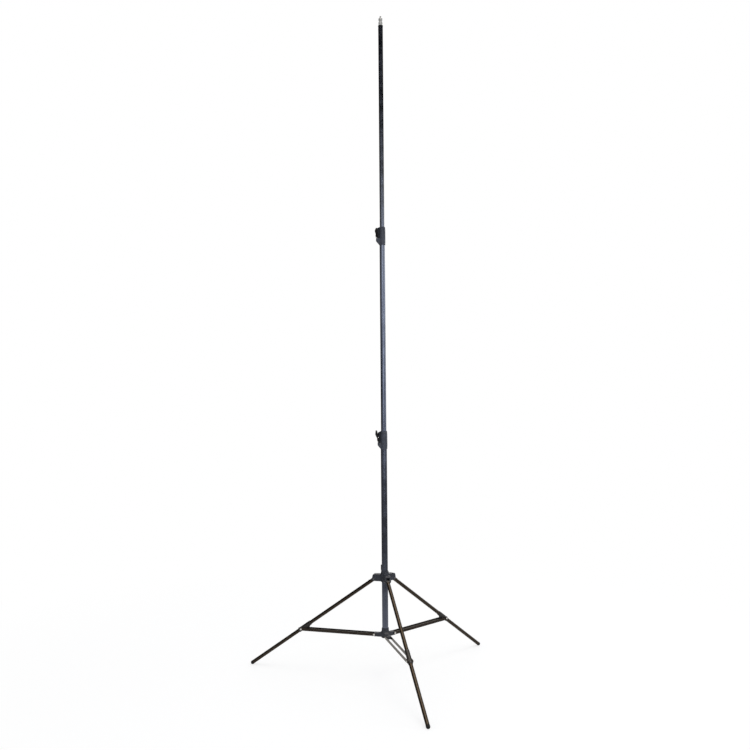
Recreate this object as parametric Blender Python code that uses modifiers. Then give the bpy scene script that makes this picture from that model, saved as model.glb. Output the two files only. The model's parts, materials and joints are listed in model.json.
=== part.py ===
"""Three-section light stand with folding legs, modelled piece by piece.

The stand is set up on the floor with its legs spread.  The origin is on the floor, on the mast
axis, +Z points up and leg 1 points along -Y.  All sizes are in metres.

Three tubes telescope in one another.  A collar with a lever knob locks each joint of the mast.
The legs hang on a collar that slides on the bottom tube, and a pair of flat bars ties each leg
to a fixed spider at the foot of that tube.
"""

import math

import bmesh
import bpy
from mathutils import Matrix, Vector

# Heights along the mast
LEG_PIVOT_HEIGHT = 0.3945
STRUT_PIVOT_HEIGHT = 0.167
LOWER_COLLAR_TOP = 1.002
MIDDLE_STAGE_RISE = 0.835
TOP_STAGE_RISE = 0.821
TUBE_OVERLAP = 0.090

# Spread of the legs
FOOT_CIRCLE_RADIUS = 0.590
PIVOT_RADIUS = 0.045
LEG_COUNT = 3
FIRST_LEG_ANGLE = math.radians(-90.0)

# Clearances
GAP = 0.0003
SLIDE_CLEARANCE = 0.0005

# Mast tubes: each one slides in the next with SLIDE_CLEARANCE all round
BOTTOM_TUBE_OD = 0.025
MAST_WALL = 0.001
BUSH_GRIP_LENGTH = 0.015
BUSH_GUIDE_LENGTH = 0.010

# Leg tubes
LEG_TUBE_OD = 0.015
LEG_WALL = 0.001
EYE_SHOULDER_START = 0.0088
EYE_SHOULDER_LENGTH = 0.0022
EYE_SPIGOT_LENGTH = 0.022
EYE_WIDTH = 0.013

# Rubber feet: each has a round nose and a spigot that plugs the leg tube
FOOT_PROUD = 0.0004
FOOT_RIM_LENGTH = 0.005
FOOT_SPIGOT_LENGTH = 0.020
FOOT_FLAT_DEPTH = 0.0008

# Pivots of the legs and of the struts
RIVET_RADIUS = 0.00235
RIVET_HEAD_RADIUS = 0.0045
RIVET_HEAD_HEIGHT = 0.0018
SMALL_RIVET_RADIUS = 0.0015
SMALL_RIVET_HEAD_RADIUS = 0.0027
SMALL_RIVET_HEAD_HEIGHT = 0.0009
LUG_END_RADIUS = 0.0075

# Struts: two flat bars on either side of each lug
BAR_HEIGHT = 0.012
BAR_THICKNESS = 0.002

# Leg brackets, clamped round the leg tubes
BRACKET_WALL = 0.0014
BRACKET_BOSS_PROUD = 0.0003
BRACKET_OUTER_LENGTH = 0.013
BRACKET_INNER_LENGTH = 0.050
BRACKET_END_CHAMFER = 0.0012
WEB_THICKNESS = 0.0045
WEB_REACH = 0.040
WEB_DROP = 0.004

# Lower spider
SPIDER_RISE = 0.029
SPIDER_DROP = 0.011
SPIDER_WALL = 0.0042
SPIDER_NECK_WALL = 0.0018
SPIDER_POCKET_WALL = 0.0035
SPIDER_ROOF = 0.0045
PLUG_FLANGE = 0.002
PLUG_LENGTH = 0.012

# Sliding leg collar
COLLAR_RISE = 0.034
COLLAR_DROP = 0.010
COLLAR_WALL = 0.0034
COLLAR_NECK_WALL = 0.0016
LINER_WALL = 0.001
CLEVIS_CHEEK = 0.0052
CLEVIS_TOP = 0.0205
CLEVIS_ROOF = 0.0055
LEG_LOCK_RISE = 0.013
LEG_LOCK_REACH = 0.017
LEG_LOCK_ANGLE = math.radians(90.0)
LEG_KNOB_TURN = math.radians(180.0)

# Mast collars
MAST_COLLAR_HEIGHT = 0.074
MAST_COLLAR_WALL = 0.0021
MAST_COLLAR_SEAT = 0.010
MAST_BOSS_FACE = 0.0248
MAST_BOSS_WIDTH = 0.016
MAST_BOSS_TAPER = 0.016
MAST_BOSS_BROW = 0.0232
MAST_KNOB_FACE = 0.020
MAST_NOTCH_REACH = 0.0112
MAST_LOCK_DROP = 0.035
MAST_RIVET_RISE = 0.0085
MAST_LOCK_ANGLE = math.radians(180.0)
LOWER_KNOB_TURN = math.radians(180.0)
UPPER_KNOB_TURN = math.radians(128.0)

# Locks: lever knob, screw, threaded insert and brake pad
SCREW_RADIUS = 0.003
INSERT_WALL = 0.0013
INSERT_LENGTH = 0.005
PAD_THICKNESS = 0.002
LOCK_BOSS_WALL = 0.003
KNOB_HUB_RADIUS = 0.0075
KNOB_HUB_LENGTH = 0.0068
KNOB_SOCKET_DEPTH = 0.005
KNOB_LEVER_REACH = 0.038
KNOB_BEND_REACH = 0.021
KNOB_TAIL_REACH = 0.0098
KNOB_LEVER_WIDTH = 0.0095
KNOB_LEVER_BASE = 0.0020
KNOB_LEVER_CREST = 0.0148
KNOB_LEVER_DEPTH = 0.0060
KNOB_TIP_DEPTH = 0.0032

# Stud at the top
STUD_RADIUS = 0.00795
STUD_HEIGHT = 0.0295
STUD_GROOVE_RADIUS = 0.006
STUD_GROOVE_WIDTH = 0.007
STUD_GROOVE_DROP = 0.009
STUD_CHAMFER = 0.0015
STUD_SPIGOT_LENGTH = 0.030
THREAD_RADIUS = 0.003175
THREAD_LENGTH = 0.0095
TOP_RING_HEIGHT = 0.0024
TOP_RING_OVERHANG = 0.0009

# Fineness of the round shapes
MAST_STEPS = 24
LEG_STEPS = 18
SMALL_STEPS = 10
ARC_STEPS = 3
WELD = 0.00001

# Sizes that follow from the ones above
BOTTOM_TUBE_RADIUS = BOTTOM_TUBE_OD / 2
MIDDLE_TUBE_RADIUS = BOTTOM_TUBE_RADIUS - MAST_WALL - SLIDE_CLEARANCE
TOP_TUBE_RADIUS = MIDDLE_TUBE_RADIUS - MAST_WALL - SLIDE_CLEARANCE
LEG_TUBE_RADIUS = LEG_TUBE_OD / 2
UPPER_COLLAR_TOP = LOWER_COLLAR_TOP + MIDDLE_STAGE_RISE
TOP_TUBE_TOP = UPPER_COLLAR_TOP + TOP_STAGE_RISE
BRACKET_RADIUS = LEG_TUBE_RADIUS + GAP + BRACKET_WALL
LUG_WIDTH = 2 * (BRACKET_RADIUS + BRACKET_BOSS_PROUD)
CLEVIS_SLOT = EYE_WIDTH + 2 * GAP
CLEVIS_WIDTH = CLEVIS_SLOT + 2 * CLEVIS_CHEEK
RIVET_HOLE = RIVET_RADIUS + GAP
SMALL_RIVET_HOLE = SMALL_RIVET_RADIUS + GAP
FOOT_RADIUS = LEG_TUBE_RADIUS + FOOT_PROUD
FOOT_CENTRE_HEIGHT = FOOT_RADIUS - FOOT_FLAT_DEPTH
LEG_RUN = FOOT_CIRCLE_RADIUS - PIVOT_RADIUS
LEG_FALL = LEG_PIVOT_HEIGHT - FOOT_CENTRE_HEIGHT
LEG_REACH = math.hypot(LEG_RUN, LEG_FALL)
LEG_SLOPE = math.atan2(LEG_FALL, LEG_RUN)
BRACKET_DISTANCE = (LEG_PIVOT_HEIGHT - STRUT_PIVOT_HEIGHT) / math.sin(LEG_SLOPE)
STRUT_LENGTH = BRACKET_DISTANCE * math.cos(LEG_SLOPE)
BAR_OFFSET = LUG_WIDTH / 2 + GAP + BAR_THICKNESS / 2
BAR_OUTSIDE = BAR_OFFSET + BAR_THICKNESS / 2


def clear_scene():
    """Remove every object, and the meshes and materials that they leave behind."""
    for item in list(bpy.data.objects):
        bpy.data.objects.remove(item, do_unlink=True)
    for store in (bpy.data.meshes, bpy.data.curves, bpy.data.materials, bpy.data.collections):
        for item in list(store):
            store.remove(item)


def new_collection(name):
    """Make a collection in the scene."""
    collection = bpy.data.collections.new(name)
    bpy.context.scene.collection.children.link(collection)
    return collection


def new_material(name, colour, roughness, metallic):
    """Make a plain Principled material."""
    material = bpy.data.materials.new(name)
    material.use_nodes = True
    shader = material.node_tree.nodes["Principled BSDF"]
    shader.inputs["Base Color"].default_value = (*colour, 1.0)
    shader.inputs["Roughness"].default_value = roughness
    shader.inputs["Metallic"].default_value = metallic
    material.diffuse_color = (*colour, 1.0)
    return material


clear_scene()
PARTS = new_collection("light_stand")
BENCH = new_collection("cutters")

MAST_FINISH = ((0.030, 0.034, 0.045), 0.38, 0.6)
LEG_FINISH = ((0.022, 0.019, 0.016), 0.42, 0.5)
MOULDING_FINISH = ((0.020, 0.022, 0.027), 0.55, 0.0)
KNOB_FINISH = ((0.012, 0.012, 0.013), 0.50, 0.0)
RUBBER_FINISH = ((0.010, 0.010, 0.010), 0.85, 0.0)
STEEL_FINISH = ((0.72, 0.72, 0.70), 0.25, 1.0)
BRASS_FINISH = ((0.70, 0.52, 0.25), 0.35, 1.0)
NYLON_FINISH = ((0.62, 0.62, 0.60), 0.60, 0.0)


# Working objects and finished parts


def on_bench(name, data):
    """Put a working object on the bench, wired and hidden from renders."""
    item = bpy.data.objects.new(name, data)
    item.hide_render = True
    item.display_type = "WIRE"
    BENCH.objects.link(item)
    return item


def solid_mesh(item, name):
    """Bake an object's modifiers and placement into a new welded mesh, and remove the object."""
    bpy.context.view_layer.update()
    graph = bpy.context.evaluated_depsgraph_get()
    mesh = bpy.data.meshes.new_from_object(item.evaluated_get(graph), depsgraph=graph)
    mesh.name = name
    mesh.transform(item.matrix_world)
    shape = bmesh.new()
    shape.from_mesh(mesh)
    bmesh.ops.remove_doubles(shape, verts=shape.verts, dist=WELD)
    bmesh.ops.dissolve_degenerate(shape, edges=shape.edges, dist=WELD)
    bmesh.ops.recalc_face_normals(shape, faces=shape.faces)
    shape.to_mesh(mesh)
    shape.free()
    bpy.data.objects.remove(item, do_unlink=True)
    return mesh


def settle(item, matrix=Matrix.Identity(4)):
    """Bake a working object, move it by a matrix and put it back on the bench."""
    name = item.name
    item.matrix_world = matrix @ item.matrix_world
    return on_bench(name, solid_mesh(item, name))


def finish_part(name, shape, finish, parent=None, matrix=Matrix.Identity(4)):
    """Turn a working shape into a finished part, or place a copy that shares a finished mesh."""
    mesh = shape
    if not isinstance(shape, bpy.types.Mesh):
        mesh = finished_mesh(name, shape)
    if not mesh.materials:
        mesh.materials.append(new_material(name, *finish))
    part = bpy.data.objects.new(name, mesh)
    PARTS.objects.link(part)
    part.parent = parent
    part.matrix_local = matrix
    return part


def finished_mesh(name, shape):
    """Bake a working shape into a mesh with smooth round sides and sharp edges."""
    mesh = solid_mesh(shape, name)
    mesh.shade_smooth()
    mesh.set_sharp_from_angle(angle=math.radians(35.0))
    return mesh


def new_station(name, parent=None, matrix=Matrix.Identity(4)):
    """Place an empty on a joint axis, to carry the pieces that move with it."""
    station = bpy.data.objects.new(name, None)
    station.empty_display_size = 0.02
    PARTS.objects.link(station)
    station.parent = parent
    station.matrix_local = matrix
    return station


# Basic shapes


def turned(name, profile, steps, closed=False):
    """Revolve a profile of (radius, height) points about Z.

    The profile runs down its outer side.  A closed profile leaves a bore along the axis.
    """
    mesh = bpy.data.meshes.new(name)
    edges = [(index, index + 1) for index in range(len(profile) - 1)]
    if closed:
        edges.append((len(profile) - 1, 0))
    mesh.from_pydata([(radius, 0.0, height) for radius, height in profile], edges, [])
    item = on_bench(name, mesh)
    screw = item.modifiers.new("Turn", "SCREW")
    screw.steps = steps
    screw.render_steps = steps
    screw.use_merge_vertices = True
    screw.merge_threshold = WELD
    return item


def tube(name, radius, wall, bottom, top, steps):
    """Make a round tube along Z, open at both ends."""
    bore = radius - wall
    return turned(name, [(radius, top), (radius, bottom), (bore, bottom), (bore, top)], steps, True)


def plate(name, outlines, thickness):
    """Make a flat plate in the XZ plane, centred on Y = 0.

    The first outline is the rim, and the others are holes in it.
    """
    curve = bpy.data.curves.new(name, "CURVE")
    curve.dimensions = "2D"
    curve.fill_mode = "BOTH"
    curve.extrude = thickness / 2
    for outline in outlines:
        spline = curve.splines.new("POLY")
        spline.points.add(len(outline) - 1)
        for point, (x, z) in zip(spline.points, outline):
            point.co = (x, z, 0.0, 1.0)
        spline.use_cyclic_u = True
    item = on_bench(name, curve)
    item.matrix_world = Matrix.Rotation(math.pi / 2, 4, "X")
    return settle(item)


def rod(name, radius, start, end, steps=SMALL_STEPS):
    """Make a solid cylinder between two points."""
    start = Vector(start)
    run = Vector(end) - start
    mesh = bpy.data.meshes.new(name)
    shape = bmesh.new()
    bmesh.ops.create_cone(
        shape, cap_ends=True, segments=steps, radius1=radius, radius2=radius, depth=run.length
    )
    shape.to_mesh(mesh)
    shape.free()
    item = on_bench(name, mesh)
    turn = run.to_track_quat("Z", "Y").to_matrix().to_4x4()
    item.matrix_world = Matrix.Translation(start + run / 2) @ turn
    return settle(item)


def box(name, low, high):
    """Make a box between two opposite corners."""
    low = Vector(low)
    size = Vector(high) - low
    mesh = bpy.data.meshes.new(name)
    shape = bmesh.new()
    bmesh.ops.create_cube(shape, size=1.0)
    bmesh.ops.scale(shape, vec=size, verts=shape.verts)
    bmesh.ops.translate(shape, vec=low + size / 2, verts=shape.verts)
    shape.to_mesh(mesh)
    shape.free()
    return on_bench(name, mesh)


def combine(item, other, operation):
    """Apply a Boolean between two working objects and use up the second one."""
    boolean = item.modifiers.new(operation.title(), "BOOLEAN")
    boolean.operation = operation
    boolean.solver = "EXACT"
    boolean.object = other
    result = settle(item)
    bpy.data.objects.remove(other, do_unlink=True)
    return result


def cut(item, *cutters):
    """Cut shapes out of a working object."""
    for cutter in cutters:
        item = combine(item, cutter, "DIFFERENCE")
    return item


def fuse(item, *others):
    """Fuse shapes with a working object."""
    for other in others:
        item = combine(item, other, "UNION")
    return item


def soften(item, width, segments=1, angle=40.0):
    """Round the sharp edges of a working object."""
    shape = bmesh.new()
    shape.from_mesh(item.data)
    bmesh.ops.dissolve_limit(
        shape, angle_limit=math.radians(1.0), verts=shape.verts, edges=shape.edges
    )
    shape.to_mesh(item.data)
    shape.free()
    bevel = item.modifiers.new("Round edges", "BEVEL")
    bevel.width = width
    bevel.segments = segments
    bevel.limit_method = "ANGLE"
    bevel.angle_limit = math.radians(angle)
    return settle(item)


# Outlines


def circle_outline(x, z, radius, steps=SMALL_STEPS):
    """List the corners of a round outline."""
    angles = [2 * math.pi * index / steps for index in range(steps)]
    return [(x + radius * math.cos(angle), z + radius * math.sin(angle)) for angle in angles]


def filleted_outline(corners, steps=ARC_STEPS):
    """Round the corners of an outline of (x, z, fillet radius)."""
    outline = []
    for index, (x, z, radius) in enumerate(corners):
        corner = Vector((x, z))
        if radius <= 0.0:
            outline.append(tuple(corner))
            continue
        before = (Vector(corners[index - 1][:2]) - corner).normalized()
        after = (Vector(corners[(index + 1) % len(corners)][:2]) - corner).normalized()
        half = math.acos(max(-1.0, min(1.0, before.dot(after)))) / 2
        centre = corner + (before + after).normalized() * (radius / math.sin(half))
        first = (corner + before * (radius / math.tan(half)) - centre).normalized()
        last = (corner + after * (radius / math.tan(half)) - centre).normalized()
        for step in range(steps + 1):
            outline.append(tuple(centre + first.slerp(last, step / steps) * radius))
    return outline


def bar_outline(length, height, steps=2 * ARC_STEPS):
    """List the outline of a bar from X = 0 to its length, with half-round ends."""
    radius = height / 2
    outline = []
    for centre, start in ((0.0, math.pi / 2), (length, -math.pi / 2)):
        for step in range(steps + 1):
            angle = start + math.pi * step / steps
            outline.append((centre + radius * math.cos(angle), radius * math.sin(angle)))
    return outline


# Fasteners


def rivet(name, radius, head_radius, head_height, half_grip, steps=SMALL_STEPS):
    """Make a rivet along Y with a low domed head at each end."""
    tip = half_grip + GAP + head_height
    seat = half_grip + GAP
    rim = seat + head_height * 0.35
    profile = [
        (0.0, tip),
        (head_radius * 0.6, tip),
        (head_radius, rim),
        (head_radius, seat),
        (radius, seat),
        (radius, -seat),
        (head_radius, -seat),
        (head_radius, -rim),
        (head_radius * 0.6, -tip),
        (0.0, -tip),
    ]
    return settle(turned(name, profile, steps), Matrix.Rotation(-math.pi / 2, 4, "X"))


def rivet_end(name, start, half_grip):
    """Make the end of a pivot rivet along +Y, with its head, on one side of a lug."""
    seat = half_grip + GAP
    tip = seat + RIVET_HEAD_HEIGHT
    rim = seat + RIVET_HEAD_HEIGHT * 0.35
    profile = [
        (0.0, tip),
        (RIVET_HEAD_RADIUS * 0.6, tip),
        (RIVET_HEAD_RADIUS, rim),
        (RIVET_HEAD_RADIUS, seat),
        (RIVET_RADIUS, seat),
        (RIVET_RADIUS, start),
        (0.0, start),
    ]
    return settle(turned(name, profile, SMALL_STEPS), Matrix.Rotation(-math.pi / 2, 4, "X"))


def lock_screw(name, tip, end):
    """Make a lock screw along Z with a chamfered tip."""
    chamfer = SCREW_RADIUS * 0.3
    profile = [
        (0.0, end),
        (SCREW_RADIUS, end),
        (SCREW_RADIUS, tip + chamfer),
        (SCREW_RADIUS - chamfer, tip),
        (0.0, tip),
    ]
    return turned(name, profile, SMALL_STEPS)


# Locks: each has a boss with a threaded insert, a screw, a brake pad and a lever knob


def lever_knob(name):
    """Make a lever knob with its axis along Z, its base at Z = 0 and its long arm along +X.

    The arm leans away from the boss, so that a thumb fits behind it.
    """
    hub = turned(
        name,
        [
            (0.0, KNOB_HUB_LENGTH),
            (KNOB_HUB_RADIUS * 0.60, KNOB_HUB_LENGTH),
            (KNOB_HUB_RADIUS * 0.90, KNOB_HUB_LENGTH * 0.84),
            (KNOB_HUB_RADIUS, KNOB_HUB_LENGTH * 0.55),
            (KNOB_HUB_RADIUS, KNOB_HUB_LENGTH * 0.08),
            (KNOB_HUB_RADIUS * 0.93, 0.0),
            (0.0, 0.0),
        ],
        LEG_STEPS,
    )
    crest = KNOB_LEVER_CREST
    corners = [
        (-KNOB_TAIL_REACH, KNOB_LEVER_BASE, 0.0008),
        (KNOB_HUB_RADIUS * 0.5, KNOB_LEVER_BASE, 0.006),
        (KNOB_BEND_REACH, crest - KNOB_LEVER_DEPTH, 0.012),
        (KNOB_LEVER_REACH, crest - KNOB_TIP_DEPTH * 1.6, KNOB_TIP_DEPTH * 0.4),
        (KNOB_LEVER_REACH, crest - KNOB_TIP_DEPTH * 0.6, KNOB_TIP_DEPTH * 0.4),
        (KNOB_BEND_REACH, crest, 0.012),
        (KNOB_HUB_RADIUS * 0.4, KNOB_HUB_LENGTH - KNOB_TIP_DEPTH * 0.2, 0.004),
        (-KNOB_TAIL_REACH, KNOB_HUB_LENGTH - KNOB_TIP_DEPTH * 0.6, 0.0012),
    ]
    arm = plate(name + "_arm", [filleted_outline(corners, 2)], KNOB_LEVER_WIDTH)
    arm = soften(arm, KNOB_TIP_DEPTH * 0.35)
    bore = rod(
        name + "_bore",
        SCREW_RADIUS + GAP,
        (0.0, 0.0, -KNOB_SOCKET_DEPTH),
        (0.0, 0.0, KNOB_SOCKET_DEPTH),
    )
    return cut(fuse(settle(hub), arm), bore)


def lock_pieces(prefix, station, face, pad_seat, knob_mesh, carrier):
    """Add the screw and knob on a lock's axis, and the insert and pad that the boss holds.

    The station stands on the axis at the knob's base, with its Z axis outwards.  The boss ends
    at a distance of face from the mast axis, and the pad presses on a tube of radius pad_seat.
    """
    base = face + GAP
    pad_outer = pad_seat + GAP + PAD_THICKNESS
    screw = lock_screw(prefix + "_screw", pad_outer + GAP - base, KNOB_SOCKET_DEPTH - GAP)
    finish_part(prefix + "_knob", knob_mesh, KNOB_FINISH, station)
    finish_part(prefix + "_screw", screw, STEEL_FINISH, station)
    insert = tube(
        prefix + "_insert",
        SCREW_RADIUS + GAP + INSERT_WALL,
        INSERT_WALL,
        face - GAP - INSERT_LENGTH - base,
        face - GAP - base,
        SMALL_STEPS,
    )
    finish_part(prefix + "_insert", insert, BRASS_FINISH, carrier)
    pad = rod(
        prefix + "_brake_pad",
        SCREW_RADIUS,
        (0.0, 0.0, pad_seat + GAP - base),
        (0.0, 0.0, pad_outer - base),
        SMALL_STEPS,
    )
    finish_part(prefix + "_brake_pad", pad, BRASS_FINISH, carrier)


def lock_stations(prefix, parent, angle, face, height, turn):
    """Place the two empties of a lock: one turns with the knob, one stays with the collar."""
    axis = Matrix.Rotation(angle, 4, "Z") @ Matrix.Translation((face + GAP, 0.0, height))
    outwards = axis @ Matrix.Rotation(math.pi / 2, 4, "Y")
    spin = Matrix.Rotation(turn, 4, "Z")
    return (
        new_station(prefix + "_axis", parent, outwards @ spin),
        new_station(prefix + "_seat", parent, outwards),
    )


def lock_bores(prefix, face, height):
    """Make the cutters for a lock's screw hole and insert pocket, along +X."""
    hole = rod(prefix + "_hole", SCREW_RADIUS + GAP, (0.0, 0.0, height), (face + GAP, 0.0, height))
    pocket = rod(
        prefix + "_pocket",
        SCREW_RADIUS + INSERT_WALL + 2 * GAP,
        (face - INSERT_LENGTH - 2 * GAP, 0.0, height),
        (face + INSERT_LENGTH, 0.0, height),
    )
    return hole, pocket


# Mast


def tube_hole(name, radius, tube_radius, height):
    """Make a cutter for a hole through one wall of a mast tube, on the side of the lock."""
    direction = Vector((math.cos(MAST_LOCK_ANGLE), math.sin(MAST_LOCK_ANGLE), 0.0))
    start = direction * (tube_radius - 3 * MAST_WALL) + Vector((0.0, 0.0, height))
    end = direction * (tube_radius + 3 * MAST_WALL) + Vector((0.0, 0.0, height))
    return rod(name, radius, start, end)


def mast_collar(prefix, tube_radius, inner_radius):
    """Make a mast collar with its top at Z = 0 and its lock boss along +X.

    The collar sits on the end of the larger tube and guides the smaller one.
    """
    height = MAST_COLLAR_HEIGHT
    bore = tube_radius + GAP
    guide = inner_radius + GAP
    belly = bore + MAST_COLLAR_WALL
    sleeve = turned(
        prefix + "_collar",
        [
            (0.0, 0.0),
            (bore, 0.0),
            (bore + MAST_COLLAR_WALL * 0.55, -height * 0.05),
            (bore + MAST_COLLAR_WALL * 0.85, -height * 0.18),
            (belly, -height * 0.50),
            (belly, -height * 0.80),
            (bore + MAST_COLLAR_WALL * 0.60, -height),
            (0.0, -height),
        ],
        MAST_STEPS,
    )
    face = MAST_BOSS_FACE
    root = tube_radius * 0.7
    toe = bore + MAST_COLLAR_WALL * 0.4
    corners = [
        (root, -height * 0.02, 0.0),
        (toe, -height * 0.02, 0.002),
        (MAST_BOSS_BROW, -height * 0.08, 0.005),
        (face, -height + MAST_BOSS_TAPER, 0.007),
        (toe, -height * 0.975, 0.003),
        (root, -height * 0.975, 0.0),
    ]
    boss = plate(prefix + "_boss", [filleted_outline(corners)], MAST_BOSS_WIDTH)
    boss = soften(boss, MAST_BOSS_WIDTH * 0.20, 2)
    collar = fuse(settle(sleeve), boss)
    notch_corners = [
        (face + height, MAST_NOTCH_REACH - MAST_LOCK_DROP, 0.0),
        (MAST_KNOB_FACE, MAST_NOTCH_REACH - MAST_LOCK_DROP, 0.002),
        (MAST_KNOB_FACE, -MAST_NOTCH_REACH - MAST_LOCK_DROP, 0.002),
        (face + height, -MAST_NOTCH_REACH - MAST_LOCK_DROP, 0.0),
    ]
    notch = plate(prefix + "_notch", [filleted_outline(notch_corners)], 2 * MAST_BOSS_WIDTH)
    core = turned(
        prefix + "_core",
        [
            (0.0, height),
            (guide, height),
            (guide, -MAST_COLLAR_SEAT),
            (bore, -MAST_COLLAR_SEAT),
            (bore, -2 * height),
            (0.0, -2 * height),
        ],
        MAST_STEPS,
    )
    hole, pocket = lock_bores(prefix, MAST_KNOB_FACE, -MAST_LOCK_DROP)
    rivet_height = -height + MAST_RIVET_RISE
    rivet_seat = mast_rivet_seat(tube_radius)
    rivet_hole = rod(
        prefix + "_rivet_hole",
        SMALL_RIVET_HOLE,
        (0.0, 0.0, rivet_height),
        (face + height, 0.0, rivet_height),
    )
    spot = rod(
        prefix + "_spot_face",
        SMALL_RIVET_HEAD_RADIUS + GAP,
        (rivet_seat, 0.0, rivet_height),
        (face + height, 0.0, rivet_height),
    )
    return cut(collar, settle(core), notch, hole, pocket, rivet_hole, spot)


def mast_rivet_seat(tube_radius):
    """Distance from the mast axis of the face under the head of a collar's fixing rivet."""
    toe = tube_radius + GAP + MAST_COLLAR_WALL * 0.4
    face = MAST_BOSS_FACE
    rise = (MAST_RIVET_RISE - SMALL_RIVET_HEAD_RADIUS) / MAST_BOSS_TAPER
    return toe + (face - toe) * rise - SMALL_RIVET_HEAD_HEIGHT


def mast_rivet(name, tube_radius):
    """Make the blind rivet that holds a collar on its tube, along +X at Z = 0."""
    seat = mast_rivet_seat(tube_radius) + GAP
    tip = seat + SMALL_RIVET_HEAD_HEIGHT
    inner = tube_radius - MAST_WALL * 0.8
    profile = [
        (0.0, tip),
        (SMALL_RIVET_HEAD_RADIUS * 0.6, tip),
        (SMALL_RIVET_HEAD_RADIUS, seat + SMALL_RIVET_HEAD_HEIGHT * 0.4),
        (SMALL_RIVET_HEAD_RADIUS, seat),
        (SMALL_RIVET_RADIUS, seat),
        (SMALL_RIVET_RADIUS, inner),
        (0.0, inner),
    ]
    return settle(turned(name, profile, SMALL_STEPS), Matrix.Rotation(math.pi / 2, 4, "Y"))


def mast_joint(prefix, carrier, tube_radius, inner_radius, top, turn, knob_mesh):
    """Add a collar with its fixing rivet and its lock to the end of a mast tube."""
    seat = Matrix.Rotation(MAST_LOCK_ANGLE, 4, "Z") @ Matrix.Translation((0.0, 0.0, top))
    collar = mast_collar(prefix, tube_radius, inner_radius)
    finish_part(prefix + "_collar", collar, MOULDING_FINISH, carrier, seat)
    down = Matrix.Translation((0.0, 0.0, MAST_RIVET_RISE - MAST_COLLAR_HEIGHT))
    fixing = mast_rivet(prefix + "_collar_rivet", tube_radius)
    finish_part(prefix + "_collar_rivet", fixing, STEEL_FINISH, carrier, seat @ down)
    height = top - MAST_LOCK_DROP
    station, fixed = lock_stations(
        prefix + "_knob", carrier, MAST_LOCK_ANGLE, MAST_KNOB_FACE, height, turn
    )
    lock_pieces(prefix, station, MAST_KNOB_FACE, inner_radius, knob_mesh, fixed)


def outer_mast_tube(name, radius, bottom, top):
    """Make a mast tube that ends in a collar, with holes for the brake pad and the rivet."""
    end = top - MAST_COLLAR_SEAT - GAP
    shape = settle(tube(name, radius, MAST_WALL, bottom, end, MAST_STEPS))
    pad = tube_hole(name + "_pad_hole", SCREW_RADIUS + GAP, radius, top - MAST_LOCK_DROP)
    rivet_height = top - MAST_COLLAR_HEIGHT + MAST_RIVET_RISE
    fixing = tube_hole(name + "_rivet_hole", SMALL_RIVET_HOLE, radius, rivet_height)
    return cut(shape, pad, fixing)


def foot_bush(name, tube_radius, outer_bore, tube_bottom):
    """Make the bush that closes the lower end of a sliding tube and guides it."""
    grip = tube_radius - MAST_WALL - GAP
    guide = outer_bore - GAP
    hollow = grip * 0.72
    top = tube_bottom + BUSH_GRIP_LENGTH
    step = tube_bottom - GAP
    bottom = step - BUSH_GUIDE_LENGTH
    lead = BUSH_GUIDE_LENGTH * 0.12
    profile = [
        (grip, top),
        (grip, step),
        (guide, step),
        (guide, bottom + lead),
        (guide - lead, bottom),
        (hollow, bottom),
        (hollow, top),
    ]
    return turned(name, profile, LEG_STEPS, True)


def add_bottom_section():
    """Add the bottom tube, its end plug and the collar that locks the middle section."""
    bottom = STRUT_PIVOT_HEIGHT - SPIDER_DROP + PLUG_FLANGE + GAP
    radius = BOTTOM_TUBE_RADIUS
    section = new_station("bottom_section")
    column = outer_mast_tube("bottom_tube", radius, bottom, LOWER_COLLAR_TOP)
    finish_part("bottom_tube", column, MAST_FINISH, section)
    plug_radius = radius - MAST_WALL - GAP
    flange = bottom - GAP
    plug = turned(
        "bottom_tube_plug",
        [
            (plug_radius, flange + PLUG_LENGTH),
            (plug_radius, flange),
            (radius, flange),
            (radius, flange - PLUG_FLANGE),
            (plug_radius * 0.7, flange - PLUG_FLANGE),
            (plug_radius * 0.7, flange + PLUG_LENGTH),
        ],
        LEG_STEPS,
        True,
    )
    finish_part("bottom_tube_plug", plug, MOULDING_FINISH, section)
    return section


def add_middle_section():
    """Add the middle tube and its foot bush."""
    bottom = LOWER_COLLAR_TOP - MAST_COLLAR_SEAT - TUBE_OVERLAP
    radius = MIDDLE_TUBE_RADIUS
    slide = new_station("middle_section")
    shape = outer_mast_tube("middle_tube", radius, bottom, UPPER_COLLAR_TOP)
    finish_part("middle_tube", shape, MAST_FINISH, slide)
    bush = foot_bush("middle_tube_bush", radius, BOTTOM_TUBE_RADIUS - MAST_WALL, bottom)
    finish_part("middle_tube_bush", bush, NYLON_FINISH, slide)
    return slide


def stud_profile(base):
    """List the outline of the stud, with its spigot below the tube's end and its thread above."""
    spigot = TOP_TUBE_RADIUS - MAST_WALL - GAP
    shoulder = base + STUD_HEIGHT
    groove_top = shoulder - STUD_GROOVE_DROP
    groove_bottom = groove_top - STUD_GROOVE_WIDTH
    tip = shoulder + THREAD_LENGTH
    slope = STUD_RADIUS - STUD_GROOVE_RADIUS
    return [
        (0.0, tip),
        (THREAD_RADIUS * 0.80, tip),
        (THREAD_RADIUS, tip - THREAD_RADIUS * 0.20),
        (THREAD_RADIUS, shoulder),
        (STUD_RADIUS - STUD_CHAMFER, shoulder),
        (STUD_RADIUS, shoulder - STUD_CHAMFER),
        (STUD_RADIUS, groove_top),
        (STUD_GROOVE_RADIUS, groove_top - slope * 0.5),
        (STUD_GROOVE_RADIUS, groove_bottom + slope * 0.5),
        (STUD_RADIUS, groove_bottom),
        (STUD_RADIUS, base),
        (spigot, base),
        (spigot, base - STUD_SPIGOT_LENGTH),
        (0.0, base - STUD_SPIGOT_LENGTH),
    ]


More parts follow.
